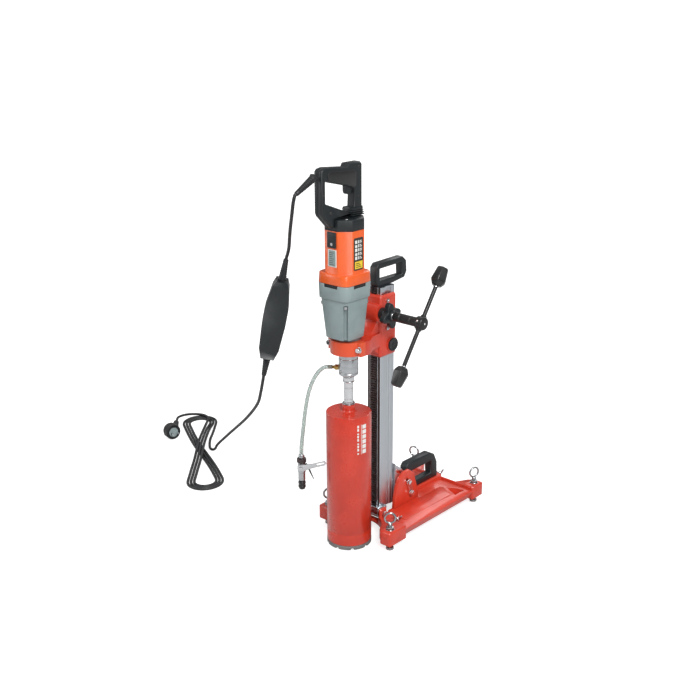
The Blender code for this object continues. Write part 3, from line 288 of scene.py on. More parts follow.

# colour and its darker patch, roughness low and high, metal, clear coat, grain size and depth,
# stretch along Z, bare-edge colour and amount, corner colour and amount (dust, and painted shade)
finishes = {
    "castRed": {
        "colour": (0.66, 0.046, 0.018), "patch": (0.56, 0.034, 0.014), "rough": (0.30, 0.46),
        "coat": 0.35, "grain": 700, "depth": 0.16, "bare": (0.36, 0.22, 0.19), "wear": 0.30,
        "dustAndShadeColour": (0.24, 0.05, 0.035), "dustAndShade": 0.75},
    "bitRed": {
        "colour": (0.60, 0.038, 0.016), "patch": (0.50, 0.029, 0.012), "rough": (0.22, 0.36),
        "coat": 0.5, "grain": 500, "depth": 0.03, "bare": (0.42, 0.30, 0.27), "wear": 0.35,
        "dustAndShadeColour": (0.22, 0.05, 0.035), "dustAndShade": 0.5},
    "motorOrange": {
        "colour": (0.84, 0.125, 0.020), "patch": (0.76, 0.105, 0.016), "rough": (0.26, 0.38),
        "coat": 0.35, "grain": 1300, "depth": 0.05, "bare": (0.60, 0.24, 0.13), "wear": 0.15,
        "dustAndShadeColour": (0.30, 0.09, 0.04), "dustAndShade": 0.55},
    "capOrange": {
        "colour": (0.76, 0.085, 0.020), "patch": (0.66, 0.065, 0.016), "rough": (0.30, 0.44),
        "coat": 0.3, "grain": 800, "depth": 0.12, "bare": (0.45, 0.28, 0.22), "wear": 0.3,
        "dustAndShadeColour": (0.26, 0.06, 0.03), "dustAndShade": 0.7},
    "gearGrey": {
        "colour": (0.27, 0.335, 0.34), "patch": (0.225, 0.285, 0.29), "rough": (0.34, 0.5),
        "coat": 0.15, "grain": 850, "depth": 0.16, "bare": (0.5, 0.54, 0.54), "wear": 0.4,
        "dustAndShadeColour": (0.10, 0.12, 0.12), "dustAndShade": 0.7},
    "blackPlastic": {
        "colour": (0.008, 0.011, 0.013), "patch": (0.012, 0.016, 0.018), "rough": (0.34, 0.52),
        "grain": 1500, "depth": 0.10, "bare": (0.07, 0.075, 0.08), "wear": 0.35,
        "dustAndShadeColour": (0.045, 0.046, 0.044), "dustAndShade": 0.25},
    "blackMetal": {
        "colour": (0.016, 0.016, 0.017), "patch": (0.025, 0.025, 0.026), "rough": (0.28, 0.42),
        "metal": 0.3, "grain": 900, "depth": 0.06, "bare": (0.20, 0.20, 0.20), "wear": 0.4,
        "dustAndShadeColour": (0.06, 0.055, 0.05), "dustAndShade": 0.4},
    "gripRubber": {
        "colour": (0.011, 0.012, 0.013), "patch": (0.018, 0.018, 0.019), "rough": (0.22, 0.38),
        "coat": 0.2, "grain": 1700, "depth": 0.05, "bare": (0.06, 0.06, 0.065), "wear": 0.3,
        "dustAndShadeColour": (0.06, 0.058, 0.055), "dustAndShade": 0.3},
    "cordRubber": {
        "colour": (0.012, 0.013, 0.015), "patch": (0.022, 0.023, 0.025), "rough": (0.36, 0.55),
        "grain": 2200, "depth": 0.08, "bare": (0.05, 0.05, 0.05), "wear": 0.0,
        "dustAndShadeColour": (0.07, 0.066, 0.06), "dustAndShade": 0.25},
    "machinedSteel": {
        "colour": (0.58, 0.60, 0.62), "patch": (0.50, 0.52, 0.54), "rough": (0.20, 0.34),
        "metal": 1.0, "grain": 420, "depth": 0.05, "stretch": 12.0, "bare": (0.8, 0.8, 0.8),
        "wear": 0.25, "dustAndShadeColour": (0.16, 0.15, 0.13), "dustAndShade": 0.5},
    "darkSteel": {
        "colour": (0.060, 0.046, 0.050), "patch": (0.085, 0.058, 0.055), "rough": (0.30, 0.50),
        "metal": 0.75, "grain": 500, "depth": 0.10, "bare": (0.30, 0.27, 0.26), "wear": 0.45,
        "dustAndShadeColour": (0.045, 0.030, 0.022), "dustAndShade": 0.6},
    "chrome": {
        "colour": (0.80, 0.81, 0.83), "patch": (0.70, 0.71, 0.73), "rough": (0.08, 0.20),
        "metal": 1.0, "grain": 600, "depth": 0.03, "bare": (0.9, 0.9, 0.9), "wear": 0.2,
        "dustAndShadeColour": (0.22, 0.21, 0.19), "dustAndShade": 0.45},
    "platedSteel": {
        "colour": (0.46, 0.47, 0.48), "patch": (0.38, 0.39, 0.40), "rough": (0.16, 0.28),
        "metal": 1.0, "grain": 600, "depth": 0.04, "bare": (0.7, 0.7, 0.7), "wear": 0.2,
        "dustAndShadeColour": (0.16, 0.15, 0.13), "dustAndShade": 0.6},
    "aluminium": {
        "colour": (0.62, 0.66, 0.70), "patch": (0.53, 0.57, 0.61), "rough": (0.22, 0.36),
        "metal": 1.0, "grain": 700, "depth": 0.05, "stretch": 0.02, "bare": (0.85, 0.86, 0.88),
        "wear": 0.25, "dustAndShadeColour": (0.18, 0.18, 0.17), "dustAndShade": 0.55},
    "brass": {
        "colour": (0.62, 0.42, 0.14), "patch": (0.42, 0.26, 0.08), "rough": (0.22, 0.40),
        "metal": 1.0, "grain": 800, "depth": 0.05, "bare": (0.9, 0.7, 0.35), "wear": 0.4,
        "dustAndShadeColour": (0.10, 0.07, 0.03), "dustAndShade": 0.7},
    "copper": {
        "colour": (0.66, 0.26, 0.12), "patch": (0.50, 0.18, 0.08), "rough": (0.28, 0.44),
        "metal": 1.0, "grain": 400, "depth": 0.2, "stretch": 0.05, "bare": (0.8, 0.4, 0.25),
        "wear": 0.1, "dustAndShadeColour": (0.12, 0.05, 0.03), "dustAndShade": 0.4},
    "diamond": {
        "colour": (0.20, 0.20, 0.21), "patch": (0.30, 0.29, 0.28), "rough": (0.45, 0.75),
        "metal": 0.8, "grain": 1400, "depth": 0.6, "bare": (0.5, 0.5, 0.5), "wear": 0.4,
        "dustAndShadeColour": (0.10, 0.09, 0.08), "dustAndShade": 0.5},
    "labelWhite": {
        "colour": (0.78, 0.79, 0.76), "patch": (0.70, 0.71, 0.68), "rough": (0.35, 0.5),
        "grain": 1500, "depth": 0.02, "bare": (0.6, 0.6, 0.58), "wear": 0.1,
        "dustAndShadeColour": (0.4, 0.36, 0.3), "dustAndShade": 0.3},
    "labelYellow": {
        "colour": (0.86, 0.62, 0.03), "patch": (0.80, 0.56, 0.03), "rough": (0.35, 0.5),
        "grain": 1500, "depth": 0.02, "bare": (0.6, 0.5, 0.2), "wear": 0.1,
        "dustAndShadeColour": (0.3, 0.2, 0.05), "dustAndShade": 0.3},
    "plateGreen": {
        "colour": (0.33, 0.42, 0.41), "patch": (0.28, 0.36, 0.35), "rough": (0.25, 0.4),
        "metal": 0.5, "grain": 1500, "depth": 0.02, "bare": (0.6, 0.62, 0.6), "wear": 0.2,
        "dustAndShadeColour": (0.16, 0.18, 0.17), "dustAndShade": 0.3},
    "labelBlack": {
        "colour": (0.020, 0.014, 0.010), "patch": (0.028, 0.020, 0.015), "rough": (0.25, 0.4),
        "coat": 0.3, "grain": 1500, "depth": 0.02, "bare": (0.1, 0.1, 0.1), "wear": 0.1,
        "dustAndShadeColour": (0.06, 0.05, 0.04), "dustAndShade": 0.2},
}
materials = {}


def makeFinish(name, look):
    materials[name], tree, shader = newMaterial(name)
    grain, wear, dustAndShade = [addNode(tree, "ShaderNodeGroup") for _ in range(3)]
    for node, kind in ((grain, "grain"), (wear, "wear"), (dustAndShade, "dustAndShade")):
        node.node_tree = groups[kind]
    setInputs(grain, {"Scale": look["grain"], "Stretch": look.get("stretch", 1.0)})
    setInputs(wear, {"Amount": look["wear"]})
    setInputs(dustAndShade, {"Amount": look["dustAndShade"]})
    mixes = [addNode(tree, "ShaderNodeMix", {"B": (*look[second], 1.0)}, data_type="RGBA")
             for second in ("patch", "bare", "dustAndShadeColour")]
    setInputs(mixes[0], {"A": (*look["colour"], 1.0)})
    contrast = addNode(tree, "ShaderNodeMapRange", {"From Min": 0.35, "From Max": 0.65})
    link(tree, grain, "Patches", contrast, "Value")
    link(tree, contrast, 0, mixes[0], "Factor")
    link(tree, wear, "Mask", mixes[1], "Factor")
    # corners and creases take the corner colour: painted shade where it is darker than the finish,
    # dust where it is lighter
    link(tree, dustAndShade, "Mask", mixes[2], "Factor")
    link(tree, mixes[0], "Result", mixes[1], "A")
    link(tree, mixes[1], "Result", mixes[2], "A")
    link(tree, mixes[2], "Result", shader, "Base Color")
    low, high = look["rough"]
    rough = addNode(tree, "ShaderNodeMapRange", {"From Min": 0.3, "From Max": 0.7,
                                                 "To Min": low, "To Max": high})
    dull = addNode(tree, "ShaderNodeMath", {1: 0.35}, operation="MULTIPLY_ADD", use_clamp=True)
    link(tree, grain, "Patches", rough, "Value")
    link(tree, dustAndShade, "Mask", dull, 0)
    link(tree, rough, 0, dull, 2)
    link(tree, dull, 0, shader, "Roughness")
    setInputs(shader, {"Metallic": look.get("metal", 0.0), "Coat Weight": look.get("coat", 0.0),
                       "Coat Roughness": 0.12})
    bump = addNode(tree, "ShaderNodeBump", {"Strength": look["depth"], "Distance": 0.0004})
    link(tree, grain, "Height", bump, "Height")
    link(tree, bump, 0, shader, "Normal")


for finishName, look in finishes.items():
    makeFinish(finishName, look)


def makeHosePlastic():
    materials["clearHose"], tree, shader = newMaterial("clearHose")
    grain = addNode(tree, "ShaderNodeGroup")
    grain.node_tree = groups["grain"]
    mist = addNode(tree, "ShaderNodeMapRange", {"From Min": 0.3, "From Max": 0.7,
                                                "To Min": 0.12, "To Max": 0.26})
    tint = addNode(tree, "ShaderNodeMix", {"A": (0.84, 0.90, 0.88, 1.0),
                                           "B": (0.76, 0.84, 0.81, 1.0)}, data_type="RGBA")
    link(tree, grain, "Patches", mist, "Value")
    link(tree, grain, "Patches", tint, "Factor")
    link(tree, mist, 0, shader, "Roughness")
    link(tree, tint, "Result", shader, "Base Color")
    setInputs(shader, {"Transmission Weight": 0.85, "IOR": 1.38})


makeHosePlastic()
print("materials:", len(materials))


# shape helpers: every bmesh is in millimetres from the drill axis

def blockShape(xs, ys, zs, edge=0.0, segments=2):
    bm = bmesh.new()
    bmesh.ops.create_cube(bm, size=1.0)
    bmesh.ops.scale(bm, vec=[b - a for a, b in (xs, ys, zs)], verts=bm.verts)
    bmesh.ops.translate(bm, vec=[(a + b) / 2 for a, b in (xs, ys, zs)], verts=bm.verts)
    if edge:
        bmesh.ops.bevel(bm, geom=list(bm.edges), offset=edge, segments=segments,
                        affect="EDGES", profile=0.5, material=-1)
    return bm


def barShape(start, end, radius, endRadius=None, sides=32, edge=0.0):
    start, end = Vector(start), Vector(end)
    bm = bmesh.new()
    bmesh.ops.create_cone(bm, cap_ends=True, segments=sides, radius1=radius,
                          radius2=radius if endRadius is None else endRadius,
                          depth=(end - start).length)
    if edge:
        soften(bm, edge, limit=40 if sides > 8 else 20)
    return aim(bm, (start + end) / 2, end - start)


def moved(bm, x, y, z):
    bmesh.ops.translate(bm, vec=(x, y, z), verts=bm.verts)
    return bm


def rotated(bm, angle, axis="Z"):
    bmesh.ops.rotate(bm, cent=(0, 0, 0), matrix=Matrix.Rotation(angle, 3, axis), verts=bm.verts)
    return bm


def aim(bm, place, along, spin=0.0):
    turn = Vector((0, 0, 1)).rotation_difference(Vector(along)).to_matrix().to_4x4()
    bmesh.ops.transform(bm, verts=bm.verts, matrix=Matrix.Translation(Vector(place)) @ turn
                        @ Matrix.Rotation(radians(spin), 4, "Z"))
    return bm


def soften(bm, width, segments=2, limit=30, where=None):
    # rounds the sharp edges, or those that where says
    bm.normal_update()
    sharp = [e for e in bm.edges if len(e.link_faces) == 2
             and e.calc_face_angle(0.0) > radians(limit)
             and (where is None or where((e.verts[0].co + e.verts[1].co) / 2))]
    if sharp:
        bmesh.ops.bevel(bm, geom=sharp, offset=width, segments=segments, affect="EDGES",
                        profile=0.5, material=-1, clamp_overlap=True)
    return bm


def turnShape(profile, steps=64, edge=0.0, limit=28, segments=2):
    # (radius, height) points from axis to axis, or a closed ring of them
    bm = bmesh.new()
    ring = profile[0][0] > 0.001
    verts = [bm.verts.new((radius, 0.0, height)) for radius, height in profile]
    pairs = list(zip(verts, verts[1:])) + ([(verts[-1], verts[0])] if ring else [])
    edges = [bm.edges.new(pair) for pair in pairs]
    bmesh.ops.spin(bm, geom=verts + edges, cent=(0, 0, 0), axis=(0, 0, 1), angle=2 * pi,
                   steps=steps, use_merge=True, use_duplicate=False)
    bmesh.ops.remove_doubles(bm, verts=bm.verts, dist=0.002)
    bmesh.ops.recalc_face_normals(bm, faces=bm.faces)
    if edge:
        soften(bm, edge, segments, limit)
    return bm


def plateShape(outline, low, high, axis="z", edge=0.0, segments=2):
    # the outline is (x, y) for axis z and (y, z) for axis x
    bm = bmesh.new()
    lift = {"z": lambda u, v: (u, v, low), "x": lambda u, v: (low, u, v)}[axis]
    face = bm.faces.new([bm.verts.new(lift(u, v)) for u, v in outline])
    rise = (0, 0, high - low) if axis == "z" else (high - low, 0, 0)
    grown = bmesh.ops.extrude_face_region(bm, geom=[face])
    lifted = [v for v in grown["geom"] if isinstance(v, bmesh.types.BMVert)]
    bmesh.ops.translate(bm, vec=rise, verts=lifted)
    bmesh.ops.recalc_face_normals(bm, faces=bm.faces)
    if edge:
        soften(bm, edge, segments)
    return bm


def threadShape(radius, depth, pitch, low, high, steps=20):
    # a helical ridge on a stem about Z
    bm = bmesh.new()
    turns = (high - low) / pitch - 1.0
    ridge = [(radius - 0.3, low), (radius + depth, low + pitch * 0.36),
             (radius + depth, low + pitch * 0.5), (radius - 0.3, low + pitch * 0.86)]
    verts = [bm.verts.new((r, 0.0, z)) for r, z in ridge]
    face = bm.faces.new(verts)
    count = max(8, int(turns * steps))
    bmesh.ops.spin(bm, geom=[face] + list(face.edges) + verts, cent=(0, 0, 0), axis=(0, 0, 1),
                   dvec=(0, 0, pitch / steps), angle=2 * pi * count / steps, steps=count,
                   use_merge=False, use_duplicate=False)
    bmesh.ops.recalc_face_normals(bm, faces=bm.faces)
    return bm


def nutShape(acrossHalf, height, edge=0.4):
    # a hexagon nut about Z with its lower face at 0
    bm = bmesh.new()
    bmesh.ops.create_cone(bm, cap_ends=True, segments=6, radius1=acrossHalf, radius2=acrossHalf,
                          depth=height)
    moved(bm, 0, 0, height / 2)
    soften(bm, edge, limit=20)
    top = max(bm.faces, key=lambda f: f.calc_center_median().z * 10 + f.calc_area() * 0.001)
    bmesh.ops.inset_region(bm, faces=[top], thickness=acrossHalf * 0.22, depth=0.35)
    return bm


def sunkTop(bm, radius, depth):
    # sinks the top face of a shape about Z, as a socket
    top = max((f for f in bm.faces if f.normal.z > 0.9), key=lambda f: f.calc_area())
    bmesh.ops.inset_region(bm, faces=[top], thickness=radius)
    bmesh.ops.translate(bm, vec=(0, 0, -depth), verts=top.verts)
    return bm


def joined(shapes):
    whole = bmesh.new()
    for shape in shapes:
        mesh = bpy.data.meshes.new("part")
        shape.to_mesh(mesh)
        shape.free()
        whole.from_mesh(mesh)
        bpy.data.meshes.remove(mesh)
    return whole


def makeObject(name, bm, finish, sharp):
    # carries a shape into the frame, in metres
    bmesh.ops.translate(bm, vec=rigShift, verts=bm.verts)
    bmesh.ops.scale(bm, vec=(0.001, 0.001, 0.001), verts=bm.verts)
    mesh = bpy.data.meshes.new(name)
    bm.to_mesh(mesh)
    bm.free()
    mesh.shade_smooth()
    mesh.set_sharp_from_angle(angle=radians(sharp))
    mesh.materials.append(materials[finish])
    piece = bpy.data.objects.new(name, mesh)
    scene.collection.objects.link(piece)
    return piece


def addPiece(name, shape, body, finish, stands=(), sharp=35):
    piece = makeObject(name, joined(shape) if isinstance(shape, list) else shape, finish, sharp)
    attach(piece, body)
    if stands:
        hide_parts(*stands)
    return piece


def cadShape(node):
    # a merged copy of a CAD node, in millimetres from the drill axis
    bm = bmesh.new()
    bm.from_mesh(nodes[node].data)
    bmesh.ops.scale(bm, vec=(1000, 1000, 1000), verts=bm.verts)
    bmesh.ops.translate(bm, vec=-rigShift, verts=bm.verts)
    bmesh.ops.remove_doubles(bm, verts=bm.verts, dist=0.005)
    bmesh.ops.dissolve_limit(bm, angle_limit=radians(1.0), verts=bm.verts, edges=bm.edges)
    return bm


def softened(node, width, finish, segments=3, limit=30, where=None, fine=0.0, sharp=35):
    # a CAD node with its edges rounded
    bm = cadShape(node)
    soften(bm, width, segments, limit, where)
    if fine:
        soften(bm, fine, 2, 50)
    bmesh.ops.triangulate(bm, faces=[f for f in bm.faces if len(f.verts) > 4])
    return addPiece(node + "_rounded", bm, nodes[node]["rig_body"], finish, [node], sharp)


# cords and hose

def smoothRoute(points, spacing):
    route = [Vector(p) for p in points]
    ends = [2 * route[0] - route[1]] + route + [2 * route[-1] - route[-2]]
    dense = []
    for i in range(1, len(ends) - 2):
        before, a, b, after = ends[i - 1:i + 3]
        for j in range(20):
            t = j / 20
            dense.append(0.5 * (2 * a + (b - before) * t
                                + (2 * before - 5 * a + 4 * b - after) * t * t
                                + (3 * a - before - 3 * b + after) * t ** 3))
    dense.append(route[-1])
    return evened(dense, spacing)


def evened(dense, spacing):
    # the same line with points an even distance apart
    length = sum((q - p).length for p, q in zip(dense, dense[1:]))
    count = max(2, round(length / spacing))
    even, walked, target = [dense[0]], 0.0, length / count
    for p, q in zip(dense, dense[1:]):
        step = (q - p).length
        while walked + step >= target * len(even) and len(even) < count:
            even.append(p.lerp(q, (target * len(even) - walked) / step))
        walked += step
    even.append(dense[-1])
    return even


def relaxed(points, rounds):
    # takes the kinks out of a line, and keeps its first and last few points
    for _ in range(rounds):
        middle = [(points[i - 1] + points[i] * 2 + points[i + 1]) / 4
                  for i in range(2, len(points) - 2)]
        points = points[:2] + middle + points[-2:]
    return points


def ledRoute(points, firstWay, lastWay, spacing, lead=4.0):
    first, last = Vector(points[0]), Vector(points[-1])
    inner = [first + firstWay * lead] + list(points[1:-1]) + [last - lastWay * lead]
    return [first] + smoothRoute(inner, spacing) + [last]


def tubeShape(points, radius, sides=4, caps=True):
    data = bpy.data.curves.new("route", "CURVE")
    data.dimensions = "3D"
    data.bevel_depth = radius
    data.bevel_resolution = sides
    data.use_fill_caps = caps
    spline = data.splines.new("POLY")
    spline.points.add(len(points) - 1)
    for point, place in zip(spline.points, points):
        point.co = (*place, 1.0)
    helper = bpy.data.objects.new("helper", data)
    scene.collection.objects.link(helper)
    settled = bpy.context.evaluated_depsgraph_get()
    mesh = bpy.data.meshes.new_from_object(helper.evaluated_get(settled))
    bpy.data.objects.remove(helper, do_unlink=True)
    bm = bmesh.new()
    bm.from_mesh(mesh)
    bpy.data.meshes.remove(mesh)
    bmesh.ops.remove_doubles(bm, verts=bm.verts, dist=0.01)
    bmesh.ops.recalc_face_normals(bm, faces=bm.faces)
    return bm


def routeLength(points):
    return sum((Vector(q) - Vector(p)).length for p, q in zip(points, points[1:])) / 1000


def addBentPiece(name, shape, finish, stands):
    # a mesh that runs between two bodies, baked into the frame and attached to neither
    piece = makeObject(name, shape, finish, 50)
    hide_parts(*stands)
    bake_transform(piece)
    return piece


cordLook = {"radius": 4.0, "reliefSteps": 9}
reliefStart, reliefEnd = Vector((0.0, -108.3, 943.0)), Vector((0.0, -166.0, 913.0))
reliefWay = (reliefEnd - reliefStart).normalized()
switchTop, switchBottom = Vector((-100.0, -118.0, 694.0)), Vector((-144.0, -131.0, 500.0))
switchWay = (switchBottom - switchTop).normalized()
sleeveTop, sleeveLow = switchTop - switchWay * 52, switchBottom + switchWay * 52


def makeStrainRelief():
    # a ribbed rubber boot about Z, narrow end up, then aimed along the cord
    long = (reliefEnd - reliefStart).length
    profile = [(0.0, 0.0), (8.9, 0.0), (9.0, 10.0)]
    for i in range(cordLook["reliefSteps"]):
        z = 13.0 + i * 5.2
        r = 8.8 - (z - 10.0) * 3.2 / (long - 10.0)
        profile += [(r, z), (r - 1.2, z + 0.6), (r - 1.2, z + 2.0), (r - 0.15, z + 2.6)]
    profile += [(5.5, long - 1.0), (4.9, long), (0.0, long)]
    boot = aim(turnShape(profile, steps=32), reliefStart, reliefWay)
    collar = blockShape((-8.0, 8.0), (-116.5, -108.3), (933.0, 950.0), 2.5)
    return addPiece("strain_relief_boot", [boot, collar], "carriage", "cordRubber",
                    ["strain_relief"], 30)


hoseWay = Vector((-0.8, -0.6, 0.0))


def byHose(reach, z):
    return Vector((hoseWay.x * reach, hoseWay.y * reach, z))


# the wound hank: a figure of eight about a middle line, its turns side by side
hank = {"near": Vector((-487.0, -62.0, 0.0)), "far": Vector((-925.0, 280.0, 0.0)), "lobe": 58.0,
        "radius": 40.5, "pitch": 9.2, "turns": 3, "low": 4.4, "high": 13.0, "sway": 4.0}


def hankPoint(along, aside, z):
    middle = (hank["near"] + hank["far"]) / 2
    way = (hank["far"] - hank["near"]).normalized()
    side = Vector((-way.y, way.x, 0.0))
    # a gentle bend, so that no run is dead straight
    sway = hank["sway"] * sin(along / 70.0 + 0.5)
    place = middle + way * along + side * (aside + sway * (1.0 - abs(aside) / 200.0))
    return Vector((place.x, place.y, z))


def hankRoute():
    reach = (hank["far"] - hank["near"]).length / 2 - hank["lobe"]
    lean = asin(hank["radius"] / reach)
    foot = reach * cos(lean)
    points = []

    def add(kind, share, turn):
        # one place on a turn's far bend, straight out, near bend or straight back
        gap = hank["pitch"] * (turn - hank["turns"] / 2)
        if kind == "far":
            angle = -(pi / 2 + lean) + share * (pi + 2 * lean)
            r = hank["radius"] - gap
            flat = (reach + r * cos(angle), r * sin(angle))
            z = hank["low"]
        elif kind == "near":
            angle = -(pi / 2 - lean) - share * (pi + 2 * lean)
            r = hank["radius"] + gap
            flat = (-reach + r * cos(angle), r * sin(angle))
            z = hank["low"]
        else:
            run = foot * (1.0 - 2.0 * share)
            if kind == "out":                                # from the far bend to the near one
                flat = (run * cos(lean) + gap * sin(lean), run * sin(lean) - gap * cos(lean))
                z = hank["low"]
            else:                                            # back over the other runs
                run = -run
                flat = (run * cos(lean) + gap * sin(lean), -run * sin(lean) + gap * cos(lean))
                lift = min(1.0, max(0.0, (foot - abs(run)) / 75.0))
                if turn > hank["turns"] - 1 and run > 0:
                    lift = 1.0                               # the last run stays up, for the tail
                z = hank["low"] + (hank["high"] - hank["low"]) * lift * lift * (3 - 2 * lift)
        points.append((flat[0], flat[1], z))

    for turn in range(hank["turns"]):
        for kind, low, high, steps in (("far", 0.0, 0.25, 24), ("out", 0.25, 0.5, 14),
                                       ("near", 0.5, 0.75, 24), ("back", 0.75, 1.0, 14)):
            for i in range(steps):
                share = i / steps
                add(kind, share, turn + low + (high - low) * share)
    return points, reach, lean


def makeLowerCord():
    wound, reach, lean = hankRoute()
    arrival = Vector((-0.92, 0.39, 0.0)).normalized()
    entry = hankPoint(0.0, -26.0, 10.0)
    down = [sleeveLow + switchWay * 0.3, Vector((-182.0, -121.0, 397.0)),
            Vector((-223.0, -97.0, 345.0)),
            Vector((-325.0, -46.0, 262.0)), Vector((-467.0, 20.0, 160.0)),
            Vector((-580.0, 68.0, 76.0)),
            entry - arrival * 55 + Vector((0, 0, 20.0)),
            entry - arrival * 25 + Vector((0, 0, 4.0)), entry]
    hankPlaces = [hankPoint(*p) for p in wound]
    lead = [hankPoint(70.0, -31.0, 5.2), hankPoint(130.0, -42.0, 4.4)]
    # the tail rises over the far bend's turns and goes out to the plug
    tail = []
    last = hank["pitch"] * (hank["turns"] / 2)
    for i in range(1, 15):
        share = i / 15
        angle = -(pi / 2 + lean) + share * (pi + 2 * lean) * 0.93
        grow = share * share * (3 - 2 * share)
        r = hank["radius"] - last + (last + 33.0) * grow
        rise = max(0.0, share - 0.6) / 0.4
        tail.append(hankPoint(reach + r * cos(angle), r * sin(angle), hank["high"] + 8.0 * rise))
    plugStart, plugEnd = Vector((-905.0, 172.0, 24.0)), Vector((-868.0, 134.0, 22.0))
    plugWay = (plugEnd - plugStart).normalized()
    tail += [plugStart - plugWay * 20, plugStart - plugWay * 8]
    knots = down + lead + hankPlaces + tail
    route = [down[0]] + smoothRoute([down[0] + switchWay * 4] + knots[1:], 6.0)
    route = relaxed(route, 6)
    route.append(plugStart + plugWay * 0.5)
    return route, plugStart, plugWay


strainBoot = makeStrainRelief()
print("cords: strain relief made")

# in-line safety switch: a faceted case with two buttons and a tapering sleeve at each end
across = Vector((-0.74, -0.67, 0.0)).normalized()
depthWay = switchWay.cross(across).normalized()
across = depthWay.cross(switchWay).normalized()
switchMiddle = (switchTop + switchBottom) / 2
switchFrame = Matrix(((across.x, depthWay.x, -switchWay.x, switchMiddle.x),
                      (across.y, depthWay.y, -switchWay.y, switchMiddle.y),
                      (across.z, depthWay.z, -switchWay.z, switchMiddle.z), (0, 0, 0, 1)))
switchCase = {"halfLong": (switchTop - switchBottom).length / 2, "edge": 3.2}


def onSwitch(bm):
    bmesh.ops.transform(bm, matrix=switchFrame, verts=bm.verts)
    bmesh.ops.recalc_face_normals(bm, faces=bm.faces)
    return bm


def makeSafetySwitch():
    case = softened("safety_switch", switchCase["edge"], "blackPlastic",
                    limit=34, sharp=50)
    long = switchCase["halfLong"]
    rings = []
    for place, way in ((switchTop, -switchWay), (switchBottom, switchWay)):
        sleeve = [(9.3, 0.0), (9.6, 2.0)]
        for i in range(7):
            z = 6.0 + i * 6.0
            r = 9.2 - i * 0.46
            sleeve += [(r, z), (r - 1.0, z + 0.7), (r - 1.0, z + 2.6), (r - 0.1, z + 3.3)]
        sleeve += [(5.9, 50.0), (5.5, 51.8), (4.2, 51.8), (4.2, 0.0)]
        rings.append(aim(turnShape(sleeve, steps=32), place, way))
    grips = addPiece("switch_sleeves", rings, "column", "cordRubber", sharp=30)
    # the case's seam, and its screws and label field on the buttons' side
    seam = onSwitch(joined([blockShape((s * 28.05 - 0.3, s * 28.05 + 0.3), (-0.5, 0.5),
                                       (-9.0, 29.0), 0.15, 1)
                            for s in (-1, 1)]))
    screws = []
    for x, z in ((-12.0, long - 26), (12.0, long - 26), (-14.0, -long + 34), (14.0, -long + 34)):
        head = turnShape([(0, 0.6), (2.2, 0.6), (2.8, 0.2), (2.8, -0.4), (0, -0.4)], steps=24)
        screws.append(aim(head, (x, 20.0, z), (0, 1, 0)))
    screws = addPiece("switch_screws", onSwitch(joined(screws)), "column", "machinedSteel")
    addPiece("switch_seam", seam, "column", "gripRubber")
    field = onSwitch(blockShape((-11.0, 11.0), (19.6, 20.4), (-54.0, -28.0), 0.3))
    addPiece("switch_field", field, "column", "plateGreen")
    for name in ("test_button", "reset_button"):
        softened(name, 1.2, "chrome", limit=40)
    return case, grips, screws


switchCaseObject, switchSleeves, switchScrews = makeSafetySwitch()

upperRoute = ledRoute([reliefEnd + reliefWay * 0.3, Vector((-3.0, -172.0, 898.0)),
                       Vector((-14.0, -166.0, 868.0)), Vector((-42.0, -146.0, 820.0)),
                       Vector((-68.0, -125.0, 775.0)), sleeveTop - switchWay * 0.3],
                      reliefWay, switchWay, 8.0)
upperRoute = relaxed(upperRoute, 2)
inside = (sleeveLow - sleeveTop).length                    # the cord runs on through the switch
upperRoute += [sleeveTop + switchWay * (inside - 0.6) * i / 30 for i in range(1, 31)]
upperCord = addBentPiece("cord_upper_run", tubeShape(upperRoute, 4.0), "cordRubber",
                         ["mains_cord_upper"])

lowerRoute, plugStart, plugWay = makeLowerCord()
lowerCord = addBentPiece("cord_lower_run", tubeShape(lowerRoute, 4.0), "cordRubber",
                         ["mains_cord_lower", "cord_hank"])


